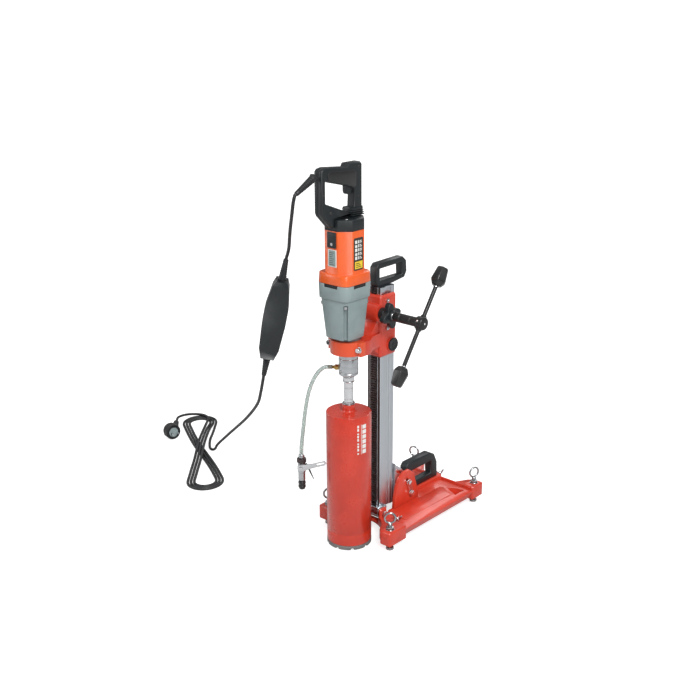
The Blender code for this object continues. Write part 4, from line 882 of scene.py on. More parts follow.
def makePlug():
    # a right-angled plug: a sleeve from the cord into the side of a round body with two pins
    middle, way = Vector((-858.0, 114.0, 24.6)), Vector((0.97, -0.24, 0.0)).normalized()
    side = Vector((-way.y, way.x, 0.0))
    sleeve = turnShape([(0, -0.2), (6.2, 0.0), (7.0, 3.0), (8.2, 14.0), (9.4, 26.0), (11.6, 38.0),
                        (12.4, 50.0), (0, 50.0)], steps=40, edge=0.6)
    rings = [turnShape([(6.8 + i * 0.4, 5.0 + i * 5.0), (8.3 + i * 0.4, 5.6 + i * 5.0),
                        (8.3 + i * 0.4, 7.4 + i * 5.0), (6.8 + i * 0.4, 8.0 + i * 5.0)][::-1],
                        steps=40)
             for i in range(4)]
    shapes = [aim(s, plugStart, plugWay) for s in [sleeve] + rings]
    disc = turnShape([(0, 17.0), (15.0, 17.0), (15.6, 16.2), (15.6, 12.6), (16.4, 12.0),
                      (21.4, 12.0), (22.4, 12.8), (23.0, 16.0), (23.9, 14.6), (24.0, 4.0),
                      (23.4, 3.4), (23.4, 1.6), (24.0, 1.0), (24.0, -8.0), (22.6, -12.0),
                      (19.0, -15.4), (13.0, -17.0), (0, -17.0)], steps=64, edge=0.4)
    shapes.append(aim(disc, middle, way))
    for turn in range(8):                                    # finger ribs round the rim
        a = 2 * pi * turn / 8 + 0.3
        rib = blockShape((-2.0, 2.0), (22.6, 24.3), (-9.0, 1.0), 0.8, 2)
        rotated(rib, a)
        shapes.append(aim(rib, middle, way))
    plug = addPiece("plug_body", shapes, "base", "cordRubber", ["mains_plug"], 40)
    pins = [barShape(middle + side * s * 9.5 + way * 10, middle + side * s * 9.5 + way * 36, 2.4,
                     sides=24,
                     edge=0.9) for s in (-1, 1)]
    collars = [barShape(middle + side * s * 9.5 + way * 16.6, middle + side * s * 9.5 + way * 18.2,
                        4.2, sides=24,
                        edge=0.3) for s in (-1, 1)]
    face = turnShape([(0, 17.4), (14.6, 17.4), (15.0, 17.0), (0, 16.8)], steps=48)
    pinPiece = addPiece("plug_pins", pins, "base", "chrome")
    collarPiece = addPiece("plug_face", collars + [aim(face, middle, way)], "base", "gearGrey")
    return plug, pinPiece, collarPiece


plugPieces = makePlug()


# water feed: swivel, nipple, hose and valve

def makeWaterFeed():
    swivel = turnShape([(14.8, 507.5), (22.4, 507.5), (23.9, 506.0), (24.0, 499.0), (23.2, 498.2),
                        (23.2, 495.8), (24.0, 495.0), (24.0, 462.4), (23.2, 461.6), (23.2, 459.6),
                        (24.0, 458.8), (24.0, 454.6), (22.4, 453.0), (14.8, 453.0)], steps=72,
                        edge=0.25)
    addPiece("swivel_body", swivel, "carriage", "machinedSteel", ["water_swivel"])
    washerRing = turnShape([(15.2, 452.9), (20.5, 452.9), (21.0, 452.4), (20.5, 451.9),
                            (15.2, 451.9)], steps=48)
    addPiece("swivel_seal", washerRing, "carriage", "cordRubber")
    base = nutShape(7.6, 8.0)
    barbs = [(0, 26.0), (2.2, 26.0)]
    for i in range(5):
        z = 25.6 - i * 3.2
        barbs += [(2.9, z), (4.9, z - 2.6), (4.3, z - 2.8)]
    barbs += [(4.3, 8.2), (5.6, 8.0), (5.6, 7.0), (0, 7.0)]
    nipple = [aim(base, byHose(24.6, 470.0), hoseWay),
              aim(turnShape(barbs, steps=32), byHose(24.6, 470.0), hoseWay)]
    addPiece("nipple_barb", nipple, "carriage", "brass", ["hose_nipple"], 30)
    hoseEnd = byHose(119.0, 238.0)
    knots = [byHose(50.3, 470.0), byHose(62.0, 467.0), byHose(75.0, 454.0), byHose(88.0, 431.0),
             byHose(99.0, 398.0), byHose(107.0, 355.0), byHose(113.0, 306.0), byHose(118.0, 262.0),
             hoseEnd]
    route = ledRoute(knots, hoseWay, Vector((0, 0, -1)), 9.0)
    route[0] = byHose(40.0, 470.0)
    outer = tubeShape(route, 5.0, sides=5, caps=False)
    inner = tubeShape(route, 3.6, sides=5, caps=False)
    bmesh.ops.reverse_faces(inner, faces=inner.faces)
    whole = joined([outer, inner])
    rims = [e for e in whole.edges if e.is_boundary]
    for end in (route[0], route[-1]):
        ring = [e for e in rims if ((e.verts[0].co + e.verts[1].co) / 2 - end).length < 7.0]
        bmesh.ops.bridge_loops(whole, edges=ring)
    bmesh.ops.recalc_face_normals(whole, faces=whole.faces)
    hose = addBentPiece("hose_run", whole, "clearHose", ["water_hose"])
    return hose, route


hosePiece, hoseRoute = makeWaterFeed()

valve = {"reach": 119.0, "pivot": 205.0}
frontWay = Vector((0.6, -0.8, 0.0))


def makeValve():
    x, y = hoseWay.x * valve["reach"], hoseWay.y * valve["reach"]
    tail = turnShape([(0, 237.7), (4.4, 237.7), (6.6, 236.0), (7.6, 233.6), (7.6, 229.0),
                      (6.4, 227.6), (6.4, 222.0), (0, 222.0)], steps=40, edge=0.3)
    collar = turnShape([(0, 226.6), (9.6, 226.6), (11.4, 225.6), (11.5, 216.0), (10.4, 214.6),
                        (0, 214.6)],
                       steps=40, edge=0.3)
    barrel = turnShape([(0, 215.0), (8.8, 215.0), (9.3, 213.0), (9.3, 196.0), (10.2, 194.6),
                        (10.2, 190.0), (9.0, 188.6), (8.9, 168.0), (7.6, 166.0), (0, 166.0)],
                        steps=48, edge=0.3)
    pivot = Vector((x, y, valve["pivot"]))
    boss = barShape(pivot + frontWay * 4, pivot + frontWay * 11.6, 5.4, sides=32, edge=0.5)
    for shape in (tail, collar, barrel):
        moved(shape, x, y, 0)
    body = addPiece("valve_barrel", [tail, barrel, boss], "column", "machinedSteel",
                    ["valve_body"], 30)
    # ridges round the collar
    ridges = []
    for i in range(20):
        turn = 2 * pi * i / 20
        ridge = blockShape((-0.7, 0.7), (-0.5, 0.5), (216.6, 225.2), 0.3, 1)
        rotated(ridge, turn)
        moved(ridge, x + 11.4 * -sin(turn), y + 11.4 * cos(turn), 0)
        ridges.append(ridge)
    ring = addPiece("valve_collar", [collar] + ridges, "column", "darkSteel")
    coupling = turnShape([(3.6, 142.0), (6.6, 142.0), (7.6, 143.0), (8.2, 146.0), (9.4, 147.5),
                          (9.5, 152.0), (8.6, 153.5), (8.6, 156.0), (9.5, 157.5), (9.5, 161.5),
                          (8.6, 163.0), (8.2, 166.4), (3.6, 166.4)], steps=40, edge=0.3)
    moved(coupling, x, y, 0)
    coupler = addPiece("valve_coupling", coupling, "column", "gripRubber")
    lever = softened("valve_lever", 0.5, "chrome", segments=2, limit=40)
    nut = aim(nutShape(4.6, 3.2), pivot + frontWay * 14.5, frontWay)
    leverNut = addPiece("valve_lever_nut", nut, "valve_lever", "chrome")
    # a dark spring clip that hangs from the collar
    clip = plateShape([(-2.6, 0.0), (3.0, 0.0), (4.2, -14.0), (2.0, -46.0), (0.6, -48.0),
                       (-0.6, -20.0)],
                      -1.1, 1.1, edge=0.4)
    towards = -hoseWay
    turn = Matrix(((towards.x, 0.0, frontWay.x, 0.0), (towards.y, 0.0, frontWay.y, 0.0),
                   (0, 1, 0, 0), (0, 0, 0, 1)))
    lean = Matrix.Rotation(radians(24.0), 4, "Z")
    place = Vector((x, y, 214.0)) + towards * 10.5 + frontWay * 5.0
    bmesh.ops.transform(clip, matrix=Matrix.Translation(place) @ turn @ lean, verts=clip.verts)
    bmesh.ops.recalc_face_normals(clip, faces=clip.faces)
    clipPiece = addPiece("valve_spring_clip", clip, "column", "blackMetal")
    return [body, ring, coupler, lever, leverNut, clipPiece]


valvePieces = makeValve()

print("cords:", round(routeLength(upperRoute), 3), round(routeLength(lowerRoute), 3),
      round(routeLength(hoseRoute), 3), "m")


# core bit, crown and adapter

bit = {"radius": 56.0, "wall": 4.0, "steps": 96, "markLow": 262.0, "markHigh": 340.0}


def wrapOnBit(bm, radius):
    # bends a flat shape, x along the skin and y outwards, round the bit
    for vert in bm.verts:
        turn, out = vert.co.x / radius, radius + vert.co.y
        vert.co = Vector((out * cos(turn), out * sin(turn), vert.co.z))
    bmesh.ops.recalc_face_normals(bm, faces=bm.faces)
    return bm


def markShape(angle, wide, low, high, radius, thick=0.35):
    bm = bmesh.new()
    bmesh.ops.create_grid(bm, x_segments=6, y_segments=1, size=0.5)
    grown = bmesh.ops.extrude_face_region(bm, geom=list(bm.faces))
    lifted = [v for v in grown["geom"] if isinstance(v, bmesh.types.BMVert)]
    bmesh.ops.translate(bm, vec=(0, 0, 1), verts=lifted)
    for vert in bm.verts:
        middle = radians(angle) * radius
        vert.co = Vector((middle + vert.co.x * wide, vert.co.z * thick,
                          (low + high) / 2 + vert.co.y * (high - low)))
    return wrapOnBit(bm, radius)


def makeBit():
    r, inner = bit["radius"], bit["radius"] - bit["wall"]
    body = turnShape([(0, 377.0), (13.8, 377.0), (15.4, 376.2), (16.0, 374.6), (16.0, 362.0),
                      (17.2, 359.6), (19.6, 358.3), (54.2, 357.6), (55.4, 357.0), (56.0, 355.6),
                      (56.0, 44.4), (55.75, 43.8), (55.75, 42.6), (56.0, 42.0), (56.0, 14.6),
                      (55.4, 13.6), (52.6, 13.6), (inner, 14.4), (inner, 350.0), (0, 350.0)],
                      steps=bit["steps"])
    addPiece("bit_barrel", body, "spindle", "bitRed", ["core_bit"], 25)
    weld = turnShape([(14.2, 380.0), (15.8, 379.2), (16.2, 377.9), (15.8, 377.1), (14.0, 377.1)],
                     steps=48)
    addPiece("bit_washer", weld, "spindle", "machinedSteel")
    softened("bit_crown", 0.4, "diamond", segments=2, limit=40)
    marks = []
    low, high = bit["markLow"], bit["markHigh"]
    for i in range(6):                                   # plain white blocks in two columns
        z = low + (high - low) * i / 6
        marks.append(markShape(-6.0, 11.5, z + 1.2, z + (high - low) / 6 - 1.6, r + 0.05))
    for i in range(9):
        z = low + (high - low) * i / 9
        marks.append(markShape(-24.0, 4.4, z + 0.8, z + (high - low) / 9 - (1.4 if i % 3 else 4.2),
                               r + 0.05))
    marks.append(markShape(-15.2, 1.2, low, high, r + 0.05))
    addPiece("bit_marks", marks, "spindle", "labelWhite")
    shaft = turnShape([(0, 452.0), (13.8, 452.0), (14.8, 451.0), (14.8, 449.2), (13.4, 448.6),
                       (0, 448.6)], 48)
    neck = turnShape([(0, 437.2), (13.2, 437.2), (14.6, 436.2), (14.6, 435.0), (12.2, 433.4),
                      (11.5, 431.0), (11.5, 421.6), (10.9, 421.0), (10.9, 418.6), (11.5, 418.0),
                      (11.5, 392.0), (10.9, 391.4), (10.9, 389.6), (11.5, 389.0), (11.5, 383.6),
                      (12.8, 382.6), (12.8, 380.2), (0, 380.2)], 64)
    hexagon = nutShape(15.0, 11.4, 0.7)
    moved(hexagon, 0, 0, 437.2)
    addPiece("adapter_shaft", [shaft, neck, hexagon], "spindle", "chrome",
             ["bit_adapter"], 28)


makeBit()
print("core bit and adapter")


# base: casting, cheeks, clamps, handle and levelling screws

base = {"edge": 1.6, "feet": [(-105.0, 36.0), (-105.0, 392.0), (105.0, 36.0), (105.0, 392.0)]}


def makeBase():
    softened("base_casting", base["edge"], "castRed", segments=2, limit=32, sharp=32)
    # a raised field on each wing
    fields = []
    for side in (-1, 1):
        outline = [(46.0, 106.0), (95.0, 106.0), (97.0, 110.0), (97.0, 296.0), (94.0, 301.0),
                   (56.0, 320.0), (48.0, 316.0), (46.0, 308.0)]
        outline = [(side * x, y) for x, y in (outline if side > 0 else reversed(outline))]
        fields.append(plateShape(outline, 49.6, 51.4, edge=1.2, segments=2))
    addPiece("base_fields", fields, "base", "castRed")
    # round bosses on the end faces of the corner blocks
    bosses = []
    for x, y in base["feet"]:
        way = -1.0 if y < 200 else 1.0
        face = 15.1 if y < 200 else 411.9
        ring = turnShape([(7.4, 0.8), (9.0, 0.9), (10.2, 0.2), (10.2, -0.6), (6.6, -0.6),
                          (6.6, 0.2)], steps=40)
        bosses.append(aim(ring, (x, face, 35.0), (0.0, way, 0.0)))
    addPiece("block_rings", bosses, "base", "castRed")
    for node in ("tilt_cheek_left", "tilt_cheek_right"):
        softened(node, 1.3, "castRed", segments=2, limit=30)
    for node in ("tilt_clamp_left", "tilt_clamp_right"):
        softened(node, 0.55, "chrome", segments=2, limit=40)
    pinEnds = []
    for side in (-1, 1):
        pinEnds.append(aim(nutShape(8.4, 4.6), (side * 43.2, 86.0, 57.0), (side, 0, 0)))
    addPiece("pivot_nuts", pinEnds, "base", "chrome")


makeBase()


for node, edge in (("base_carry_handle", 4.6), ("column_top_handle", 4.2)):
    softened(node, edge, "blackPlastic", segments=4, sharp=50,
             where=lambda m: abs(m.x) > 11.0)

eye = {"ring": 13.5, "wire": 2.6, "height": 86.0, "pitch": 2.2, "turns": (60.0, 10.0, 44.0, 70.0)}


def makeLevellingScrews():
    names = ["levelling_screw_front_left", "levelling_screw_rear_left",
             "levelling_screw_front_right", "levelling_screw_rear_right"]
    for i, ((x, y), body) in enumerate(zip(base["feet"], names)):
        turn = radians(eye["turns"][i])
        circle = [(eye["ring"] + eye["wire"] * cos(a), eye["wire"] * sin(a))
                  for a in (2 * pi * k / 14 for k in range(14))]
        ring = aim(turnShape(circle, steps=48), (0, 0, eye["height"]), (sin(turn), -cos(turn), 0.0))
        stem = turnShape([(0, 73.4), (3.2, 73.2), (5.2, 71.4), (6.0, 69.0), (5.4, 66.6),
                          (4.5, 65.6), (4.5, 8.4), (6.0, 7.6), (9.2, 6.2), (10.0, 4.6), (10.0, 0.8),
                          (9.4, 0.0), (0, 0.0)], steps=32)
        thread = threadShape(4.5, 0.75, eye["pitch"], 9.0, 66.0)
        shapes = [ring, stem, thread]
        for shape in shapes:
            moved(shape, x, y, 0)
        addPiece(f"eye_screw_{i + 1}", shapes, body, "platedSteel",
                 [f"levelling_screw_{i + 1}"], 32)
        nut = nutShape(9.6, 6.2)
        moved(nut, x, y, 56.6)
        flat = turnShape([(5.6, 56.5), (10.6, 56.5), (10.9, 56.1), (10.9, 55.2), (5.6, 55.2)],
                         steps=40)
        moved(flat, x, y, 0)
        addPiece(f"lock_nut_{i + 1}", [nut, flat], "base", "platedSteel")


makeLevellingScrews()


def makeWingBolt(name, place, spin):
    # a stowed bolt with two wings
    hub = turnShape([(0, 9.0), (3.6, 9.0), (4.4, 8.0), (5.4, 1.0), (5.4, 0.0), (0, 0.0)], steps=32,
                    edge=0.3)
    shapes = [hub]
    for side in (-1, 1):
        wing = plateShape([(3.0, 1.0), (8.0, 4.0), (13.0, 10.0), (13.4, 14.0), (11.0, 15.4),
                           (7.0, 12.0), (3.0, 8.0)],
                          -1.4, 1.4, edge=0.7)
        rotated(wing, pi / 2, "X")
        if side < 0:
            rotated(wing, pi)
        shapes.append(wing)
    whole = joined(shapes)
    aim(whole, place, (0, 0, 1), spin)
    addPiece(name, whole, "base", "chrome")


makeWingBolt("stowed_wing_nut", (82.0, 92.0, 50.1), 20.0)
makeWingBolt("handle_wing_bolt", (0.0, 376.0, 50.2), 70.0)
print("base and levelling screws")


# column: extrusion, foot, sector and rack screws

def makeColumn():
    half = [(9.3, 94.0), (11.6, 94.0), (12.1, 94.5), (13.3, 94.5), (13.8, 94.0), (20.0, 94.0),
            (22.0, 96.0), (22.0, 99.6), (21.5, 100.1), (21.5, 101.2), (22.0, 101.7), (22.0, 108.0),
            (19.5, 110.0), (19.5, 116.0), (18.3, 117.0), (18.3, 123.0), (19.5, 124.0),
            (19.5, 130.0), (22.0, 132.0), (22.0, 138.3), (21.5, 138.8), (21.5, 139.9),
            (22.0, 140.4), (22.0, 144.0), (20.0, 146.0)]
    outline = half + [(-x, y) for x, y in reversed(half)] + [(-9.3, 94.0), (-9.3, 100.0),
                                                             (9.3, 100.0)]
    outline = [p for i, p in enumerate(outline) if p != outline[i - 1]]
    bm = plateShape(outline, 62.0, 652.0)
    bmesh.ops.triangulate(bm, faces=[f for f in bm.faces if len(f.verts) > 4])
    piece = addPiece("column_extrusion", bm, "column", "aluminium",
                     ["column_profile"], 20)
    piece.data.materials.append(materials["darkSteel"])
    for face in piece.data.polygons:
        if face.normal.y < -0.9:
            face.material_index = 1
    softened("column_foot_bracket", 1.2, "aluminium", segments=2, limit=35)
    softened("tilt_sector", 0.7, "aluminium", segments=2, limit=40)
    holes = []
    for z in (96.0, 128.0, 160.0, 192.0, 300.0, 408.0, 516.0):
        head = sunkTop(turnShape([(0, 0.5), (4.6, 0.5), (5.2, 0.0), (5.2, -3.0), (0, -3.0)],
                                 steps=28), 1.9, 1.8)
        holes.append(aim(head, (0.0, 91.4, z), (0, -1, 0)))
    addPiece("rack_screws", holes, "column", "blackMetal")
    bolts = []
    for side in (-1, 1):
        for y, z in ((84.0, 64.0), (106.0, 64.0), (106.0, 49.0)):
            head = sunkTop(turnShape([(0, 1.6), (3.4, 1.6), (3.9, 1.1), (3.9, -1.0), (0, -1.0)],
                                     steps=28), 1.5, 1.2)
            bolts.append(aim(head, (side * 30.0, y, z), (side, 0, 0)))
    addPiece("foot_screws", bolts, "column", "machinedSteel")


makeColumn()
print("column")


# carriage, clamp, crank and feed lock

def makeCarriage():
    softened("carriage_casting", 1.9, "castRed", segments=3, limit=32)
    softened("clamp_cap", 1.8, "capOrange", segments=3, limit=32)
    for side, hand in ((1, "right"), (-1, "left")):
        head = sunkTop(turnShape([(0, 6.8), (5.3, 6.8), (6.0, 6.0), (6.0, 0.0), (0, 0.0)],
                                 steps=36), 2.4, 3.0)
        head = aim(head, (side * 47.5, -15.2, 528.0), (0, -1, 0))
        flat = aim(turnShape([(4.3, 0.9), (7.4, 0.9), (7.6, 0.6), (7.6, 0.0), (4.3, 0.0)],
                             steps=36),
                   (side * 47.5, -14.2, 528.0), (0, -1, 0))
        shank = barShape((side * 47.5, -15.5, 528.0), (side * 47.5, 18.5, 528.0), 4.0, sides=24)
        addPiece(f"clamp_screw_{hand}", [head, shank, flat], "carriage", "chrome",
                 [f"clamp_bolt_{hand}"])
        cap = turnShape([(0, 3.9), (4.0, 3.9), (4.6, 3.3), (9.8, 3.3), (10.4, 3.9), (13.2, 3.9),
                         (14.0, 4.7), (15.4, 4.7), (16.5, 3.6), (16.5, 0.0), (0, 0.0)], steps=56,
                         edge=0.25)
        addPiece(f"adjuster_disc_{hand}", aim(cap, (side * 37.3, 121.0, 507.0), (side, 0, 0)),
                 "carriage",
                 "blackPlastic", [f"adjuster_cap_{hand}"])
    # set screws for the slide pads down the side
    sets = []
    for side in (-1, 1):
        for z in (552.0, 622.0):
            nut = aim(nutShape(5.2, 3.0), (side * 34.0, 104.0, z), (side, 0, 0))
            tip = aim(turnShape([(0, 5.6), (2.0, 5.6), (2.6, 5.0), (2.6, 0.0), (0, 0.0)], steps=24),
                      (side * 34.0, 104.0, z), (side, 0, 0))
            sets += [nut, tip]
    addPiece("slide_set_screws", sets, "carriage", "machinedSteel")


makeCarriage()

crank = {"y": 80.0, "z": 595.0, "barX": 157.0, "barRadius": 5.0, "upper": 120.0, "lower": 136.0}
crankCentre = Vector((crank["barX"], crank["y"], crank["z"]))
crankLean = Vector((0.0, 0.566, 0.824)).normalized()


def makeCrank():
    axis = Vector((0.0, crank["y"], crank["z"]))
    sleeve = turnShape([(8.4, 77.5), (10.4, 77.5), (11.4, 78.4), (11.5, 80.0), (11.5, 96.0),
                        (10.7, 97.0), (10.7, 99.0), (11.5, 100.0), (11.5, 128.0), (10.7, 129.0),
                        (10.7, 131.0), (11.5, 132.0), (11.5, 146.6), (8.4, 146.6)], steps=48)
    hub = turnShape([(0, 168.0), (9.0, 168.0), (14.4, 167.0), (16.0, 164.8), (16.0, 148.0),
                     (14.4, 146.2), (0, 146.2)], steps=56, edge=0.5)
    shapes = [aim(shape, axis, (1, 0, 0)) for shape in (sleeve, hub)]
    shapes.append(barShape(crankCentre - crankLean * (crank["lower"] - 15),
                           crankCentre + crankLean * (crank["upper"] - 15), crank["barRadius"],
                           sides=32,
                           edge=0.5))
    for s in (-1, 1):
        collar = turnShape([(0, 20.0), (5.6, 20.0), (7.2, 17.8), (7.8, 14.0), (0, 14.0)], steps=36)
        shapes.append(aim(collar, crankCentre, crankLean * s))
    addPiece("crank_sleeve", shapes, "crank", "blackMetal", ["crank_hub"], 30)
    pins = [aim(turnShape([(0, 1.4), (1.8, 1.2), (2.6, 0.4), (2.6, -2.0), (0, -2.0)], steps=24),
                crankCentre + Vector((11.0, 0, 0)), (1, 0, 0)),
            aim(turnShape([(0, 1.2), (2.0, 1.0), (2.8, 0.2), (2.8, -2.0), (0, -2.0)], steps=24),
                crankCentre + Vector((-2.0, -15.4 * crankLean.z, 15.4 * crankLean.y)),
                (0, -crankLean.z, crankLean.y))]
    addPiece("crank_pins", pins, "crank", "chrome")
    for s, end in ((1, "upper"), (-1, "lower")):
        knob = turnShape([(0, 23.5), (10.4, 23.5), (13.0, 22.8), (15.0, 20.0), (19.8, -9.0),
                          (19.8, -12.5), (13.0, -23.0), (11.6, -23.5), (6.3, -23.5), (6.3, -14.0),
                          (0, -14.0)], steps=6)
        soften(knob, 1.5, 3, 24)
        bung = turnShape([(0, 24.2), (4.4, 24.2), (5.4, 23.6), (5.4, 22.8), (0, 22.8)], steps=32)
        place = crankCentre + crankLean * s * crank[end]
        addPiece(f"crank_knob_{end}", [aim(knob, place, crankLean * s),
                                       aim(bung, place, crankLean * s)],
                 "crank", "gripRubber", [f"crank_grip_{end}"], 40)
        ring = turnShape([(5.1, 2.6), (6.6, 2.4), (7.2, 1.4), (7.2, 0.0), (5.1, 0.0)], steps=32)
        addPiece(f"crank_ferrule_{end}", aim(ring, place - crankLean * s * 26.6, crankLean * s),
                 "crank",
                 "chrome")


makeCrank()

star = {"radius": 26.0, "lobe": 7.0, "low": 56.0, "high": 71.0, "points": 88}


def makeFeedLock():
    outline = []
    for i in range(star["points"]):
        a = 2 * pi * i / star["points"]
        r = star["radius"] + star["lobe"] * cos(4 * a)
        outline.append((crank["y"] + r * cos(a + 0.2), crank["z"] + r * sin(a + 0.2)))
    disc = plateShape(outline, star["low"], star["high"], "x")
    soften(disc, 3.4, 4, 50, lambda m: not star["low"] + 0.1 < m.x < star["high"] - 0.1)
    axis = Vector((0.0, crank["y"], crank["z"]))
    boss = turnShape([(8.4, 36.5), (14.4, 36.5), (15.0, 37.2), (15.0, 50.0), (13.8, 51.2),
                      (13.8, 54.0), (17.0, 56.2), (8.4, 56.2)], steps=48)
    cap = turnShape([(8.4, 70.5), (14.0, 70.5), (13.6, 73.0), (12.4, 75.0), (8.4, 75.0)], steps=48,
                    edge=0.4)
    shapes = [disc] + [aim(shape, axis, (1, 0, 0)) for shape in (boss, cap)]
    addPiece("feed_lock_star", shapes, "feed_lock", "blackPlastic",
             ["feed_lock_knob"], 40)
    ring = turnShape([(8.5, 75.5), (9.4, 75.5), (9.8, 75.0), (8.5, 75.0)], steps=40)
    addPiece("feed_lock_ring", aim(ring, axis, (1, 0, 0)), "feed_lock", "machinedSteel")


makeFeedLock()
print("carriage, crank and feed lock")


# motor unit: housings, handle, labels and screws

def makeMotor():
    softened("gearbox_housing", 1.8, "gearGrey", segments=3, limit=34, sharp=40)
    softened("gearbox_flange", 0.9, "gearGrey", segments=2, limit=34, sharp=40)
    softened("motor_housing", 1.6, "motorOrange", segments=3, limit=30, sharp=38)
    softened("rear_cap", 1.4, "blackPlastic", segments=3, limit=30, sharp=38)
    screws = []
    for sx in (-1, 1):
        for sy in (-1, 1):
            foot = Vector((sx * 29.8, motorY + sy * 29.8, 550.0))
            head = Vector((sx * 36.8, motorY + sy * 36.8, 642.0))
            way = (head - foot).normalized()
            screw = turnShape([(0, 0.0), (1.8, 0.0), (2.2, 1.4), (3.9, 1.4), (4.3, 2.0), (4.3, 8.0),
                               (0, 8.0)], 32)
            screws.append(aim(screw, head - way * 9.5, way))
    addPiece("gearbox_screws", screws, "carriage", "machinedSteel")
    # the flange's four vents: dark bars over a dark sheet, which is painted shade inside the vents
    slots = []
    for s in (-1, 1):
        near, far = 46.55, 47.3
        slots.append(blockShape((-20.8, 20.8), sorted((motorY + s * near, motorY + s * far)),
                                (680.2, 687.9), 0.2, 1))
        slots.append(blockShape(sorted((s * near, s * far)), (motorY - 20.8, motorY + 20.8),
                                (680.2, 687.9), 0.2, 1))
        for i in range(5):
            bar = -17.6 + 8.4 * i
            slots.append(blockShape((bar, bar + 1.6),
                                    sorted((motorY + s * 47.0, motorY + s * 48.2)),
                                    (680.2, 687.9), 0.2, 1))
            slots.append(blockShape(sorted((s * 47.0, s * 48.2)),
                                    (motorY + bar, motorY + bar + 1.6),
                                    (680.2, 687.9), 0.2, 1))
    addPiece("vent_shade_grilles", slots, "carriage", "cordRubber")


makeMotor()

handle = {"edge": 5.0, "ribs": 4, "ribLow": 841.5, "ribStep": 4.4, "half": 12.5}


def makeHandle():
    for node in ("handle_shell_left", "handle_shell_right"):
        bm = cadShape(node)
        soften(bm, handle["edge"], 4, 24, lambda m: abs(m.x) > 11.5)
        soften(bm, 0.35, 1, 60, lambda m: abs(m.x) < 1.0)
        bmesh.ops.triangulate(bm, faces=[f for f in bm.faces if len(f.verts) > 4])
        addPiece(node + "_rounded", bm, "carriage", "blackPlastic", [node], 40)
    softened("trigger", 1.4, "blackPlastic", segments=3, limit=30)
    pads, ribs, screws = [], [], []
    half = handle["half"]
    for side in (-1, 1):
        outline = [(-79.0, 934.0), (-74.0, 930.5), (-13.0, 915.0), (9.0, 907.0), (15.0, 911.0),
                   (15.0, 940.0), (9.0, 946.0), (-72.0, 951.0), (-79.0, 946.0)]
        outline = outline if side > 0 else list(reversed(outline))
        low, high = sorted((side * (half - 0.6), side * (half + 1.2)))
        pads.append(plateShape(outline, low, high, "x", edge=1.1, segments=3))
        for y, z in ((-91.5, 900.0), (-70.0, 858.0), (25.0, 952.0), (25.0, 884.0)):
            head = sunkTop(turnShape([(0, 0.7), (2.6, 0.7), (3.2, 0.2), (3.2, -1.2), (0, -1.2)],
                                     steps=28), 1.3, 0.8)
            screws.append(aim(head, (side * (half + 0.1), y, z), (side, 0, 0)))
    for i in range(handle["ribs"]):
        z = handle["ribLow"] + i * handle["ribStep"]
        wide = 19.0 - i * 1.1
        ribs.append(blockShape((-wide, wide), (-6.0 + i, 38.0 - i * 0.6), (z, z + 2.6), 1.1, 2))
    ribs.append(blockShape((-13.6, 13.6), (-3.0, 37.4), (840.8, 861.0), 1.0, 2))
    addPiece("handle_pads", pads, "carriage", "gripRubber", sharp=50)
    addPiece("handle_ribs", ribs, "carriage", "blackPlastic")
    addPiece("handle_screws", screws, "carriage", "blackMetal")
    capScrew = sunkTop(turnShape([(0, 2.0), (3.0, 1.8), (4.2, 0.6), (4.2, -1.0), (0, -1.0)],
                                 steps=32), 1.6, 1.0)
    addPiece("rear_cap_screw", aim(capScrew, (26.0, -34.0, 840.0), (0, 0, 1)), "carriage",
             "chrome")


makeHandle()

label = {"front": -56.0, "side": 44.0, "frontMid": 2.6, "frontHalf": 13.2, "frontLow": 730.5,
         "frontHigh": 771.0, "sideLow": 722.0, "sideHigh": 798.0, "sideFrom": -28.5, "sideTo": 3.5}


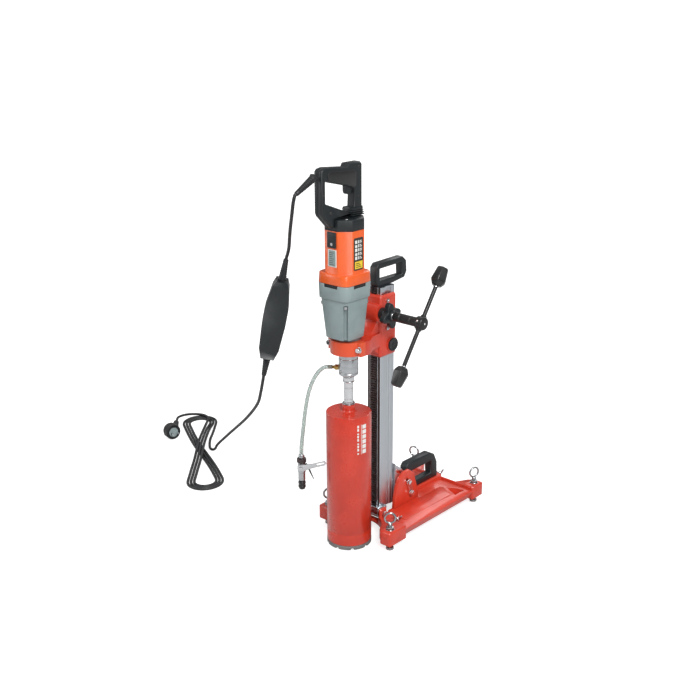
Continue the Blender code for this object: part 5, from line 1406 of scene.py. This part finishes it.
def makeLabels():
    # brush cover with its screw, a rating plate below it, and a tall side label with plain marks
    cover = blockShape((-11.0, 16.0), (-59.0, -56.3), (775.0, 812.0), 1.0, 3)
    groove = blockShape((-8.0, 13.0), (-59.3, -58.6), (806.0, 807.6), 0.3, 1)
    screw = sunkTop(turnShape([(0, 1.0), (2.8, 0.9), (3.6, 0.2), (3.6, -1.4), (0, -1.4)],
                              steps=32), 1.2, 0.7)
    addPiece("brush_cover_plate", [cover, groove], "carriage", "blackPlastic",
             ["brush_cover"])
    addPiece("brush_cover_screw", aim(screw, (3.0, -59.2, 784.0), (0, -1, 0)), "carriage", "chrome")
    y, mid, half, low, high = (label[k] for k in ("front", "frontMid", "frontHalf", "frontLow",
                                                  "frontHigh"))
    plate = blockShape((mid - half, mid + half), (y - 0.7, y + 0.3), (low, high), 0.3, 2)
    field = blockShape((mid - half + 2.8, mid + half - 2.4), (y - 1.0, y - 0.5),
                       (low + 2.0, high - 1.6), 0.2, 1)
    bars = []
    for i in range(7):
        z = low + 5.0 + i * 4.6
        bars.append(blockShape((mid - half + 5.0, mid + half - 6.0 - (i * 5 % 7)),
                               (y - 1.15, y - 0.9),
                               (z, z + 1.1), 0.05, 1))
    addPiece("rating_plate", plate, "carriage", "labelWhite")
    addPiece("rating_field", field, "carriage", "plateGreen")
    addPiece("rating_bars", bars, "carriage", "labelBlack")
    x, first, last, low, high = (label[k] for k in ("side", "sideFrom", "sideTo", "sideLow",
                                                    "sideHigh"))
    back = blockShape((x - 0.3, x + 0.6), (first, last), (low, high), 0.0)
    upright = [e for e in back.edges if abs(e.verts[0].co.x - e.verts[1].co.x) > 0.5]
    bmesh.ops.bevel(back, geom=upright, offset=4.0, segments=5, affect="EDGES", profile=0.5,
                    material=-1)
    soften(back, 0.2, 1, 60)
    marks = []
    for i in range(5):
        z = low + 25.0 + i * 9.4
        marks.append(blockShape((x + 0.45, x + 0.8), (first + 4.0, first + 11.6),
                                (z, z + 7.6 - (i % 2) * 1.2), 0.15, 1))
        marks.append(blockShape((x + 0.45, x + 0.8), (first + 14.6, first + 18.2),
                                (z + 0.4, z + 7.4), 0.15, 1))
        marks.append(blockShape((x + 0.45, x + 0.8), (first + 20.4, first + 27.0),
                                (z + 1.0, z + 3.2), 0.15, 1))
        marks.append(blockShape((x + 0.45, x + 0.8), (first + 20.4, first + 25.0 + i % 3),
                                (z + 4.8, z + 6.8), 0.15, 1))
    block = blockShape((x + 0.45, x + 0.8), (first + 3.4, last - 2.6), (low + 3.4, low + 20.6),
                       0.15, 1)
    dashes = [blockShape((x + 0.7, x + 0.95), (first + 7.0, last - 7.0 - i * 3.0),
                         (low + 6.6 + i * 4.2, low + 8.4 + i * 4.2), 0.08, 1) for i in range(3)]
    addPiece("side_label", back, "carriage", "labelBlack")
    addPiece("side_label_marks", marks, "carriage", "labelWhite")
    addPiece("side_label_block", block, "carriage", "labelYellow")
    addPiece("side_label_dashes", dashes, "carriage", "labelBlack")


makeLabels()
print("motor unit, handle and labels")


# every CAD node that still shows gets its finish
cadFinishes = {
    "castRed": ["base_casting", "tilt_cheek_left", "tilt_cheek_right", "carriage_casting"],
    "bitRed": ["core_bit"], "capOrange": ["clamp_cap"], "motorOrange": ["motor_housing"],
    "gearGrey": ["gearbox_housing", "gearbox_flange"],
    "blackPlastic": ["rear_cap", "handle_shell_left", "handle_shell_right", "trigger",
                     "brush_cover", "column_top_handle", "base_carry_handle", "adjuster_cap_left",
                     "adjuster_cap_right", "feed_lock_knob", "safety_switch"],
    "blackMetal": ["crank_hub"], "gripRubber": ["crank_grip_upper", "crank_grip_lower"],
    "cordRubber": ["mains_cord_upper", "mains_cord_lower", "cord_hank", "mains_plug",
                   "strain_relief"],
    "machinedSteel": ["tilt_pivot_pin", "crank_shaft", "motor_bearing", "spindle_bearing",
                      "layshaft", "spindle", "water_swivel", "bit_adapter"],
    "darkSteel": ["rack"],
    "chrome": ["tilt_clamp_left", "tilt_clamp_right", "levelling_screw_1", "levelling_screw_2",
               "levelling_screw_3", "levelling_screw_4", "clamp_bolt_left", "clamp_bolt_right",
               "valve_body", "valve_lever", "test_button", "reset_button"],
    "aluminium": ["column_profile", "column_foot_bracket", "tilt_sector"],
    "brass": ["glide_pad_left", "glide_pad_right", "hose_nipple"], "copper": ["stator", "armature"],
    "diamond": ["bit_crown"], "clearHose": ["water_hose"],
}
for finishName, names in cadFinishes.items():
    for name in names:
        for place in nodes[name].material_slots:
            place.material = materials[finishName]
print("finishes given to", sum(len(n) for n in cadFinishes.values()), "CAD nodes")
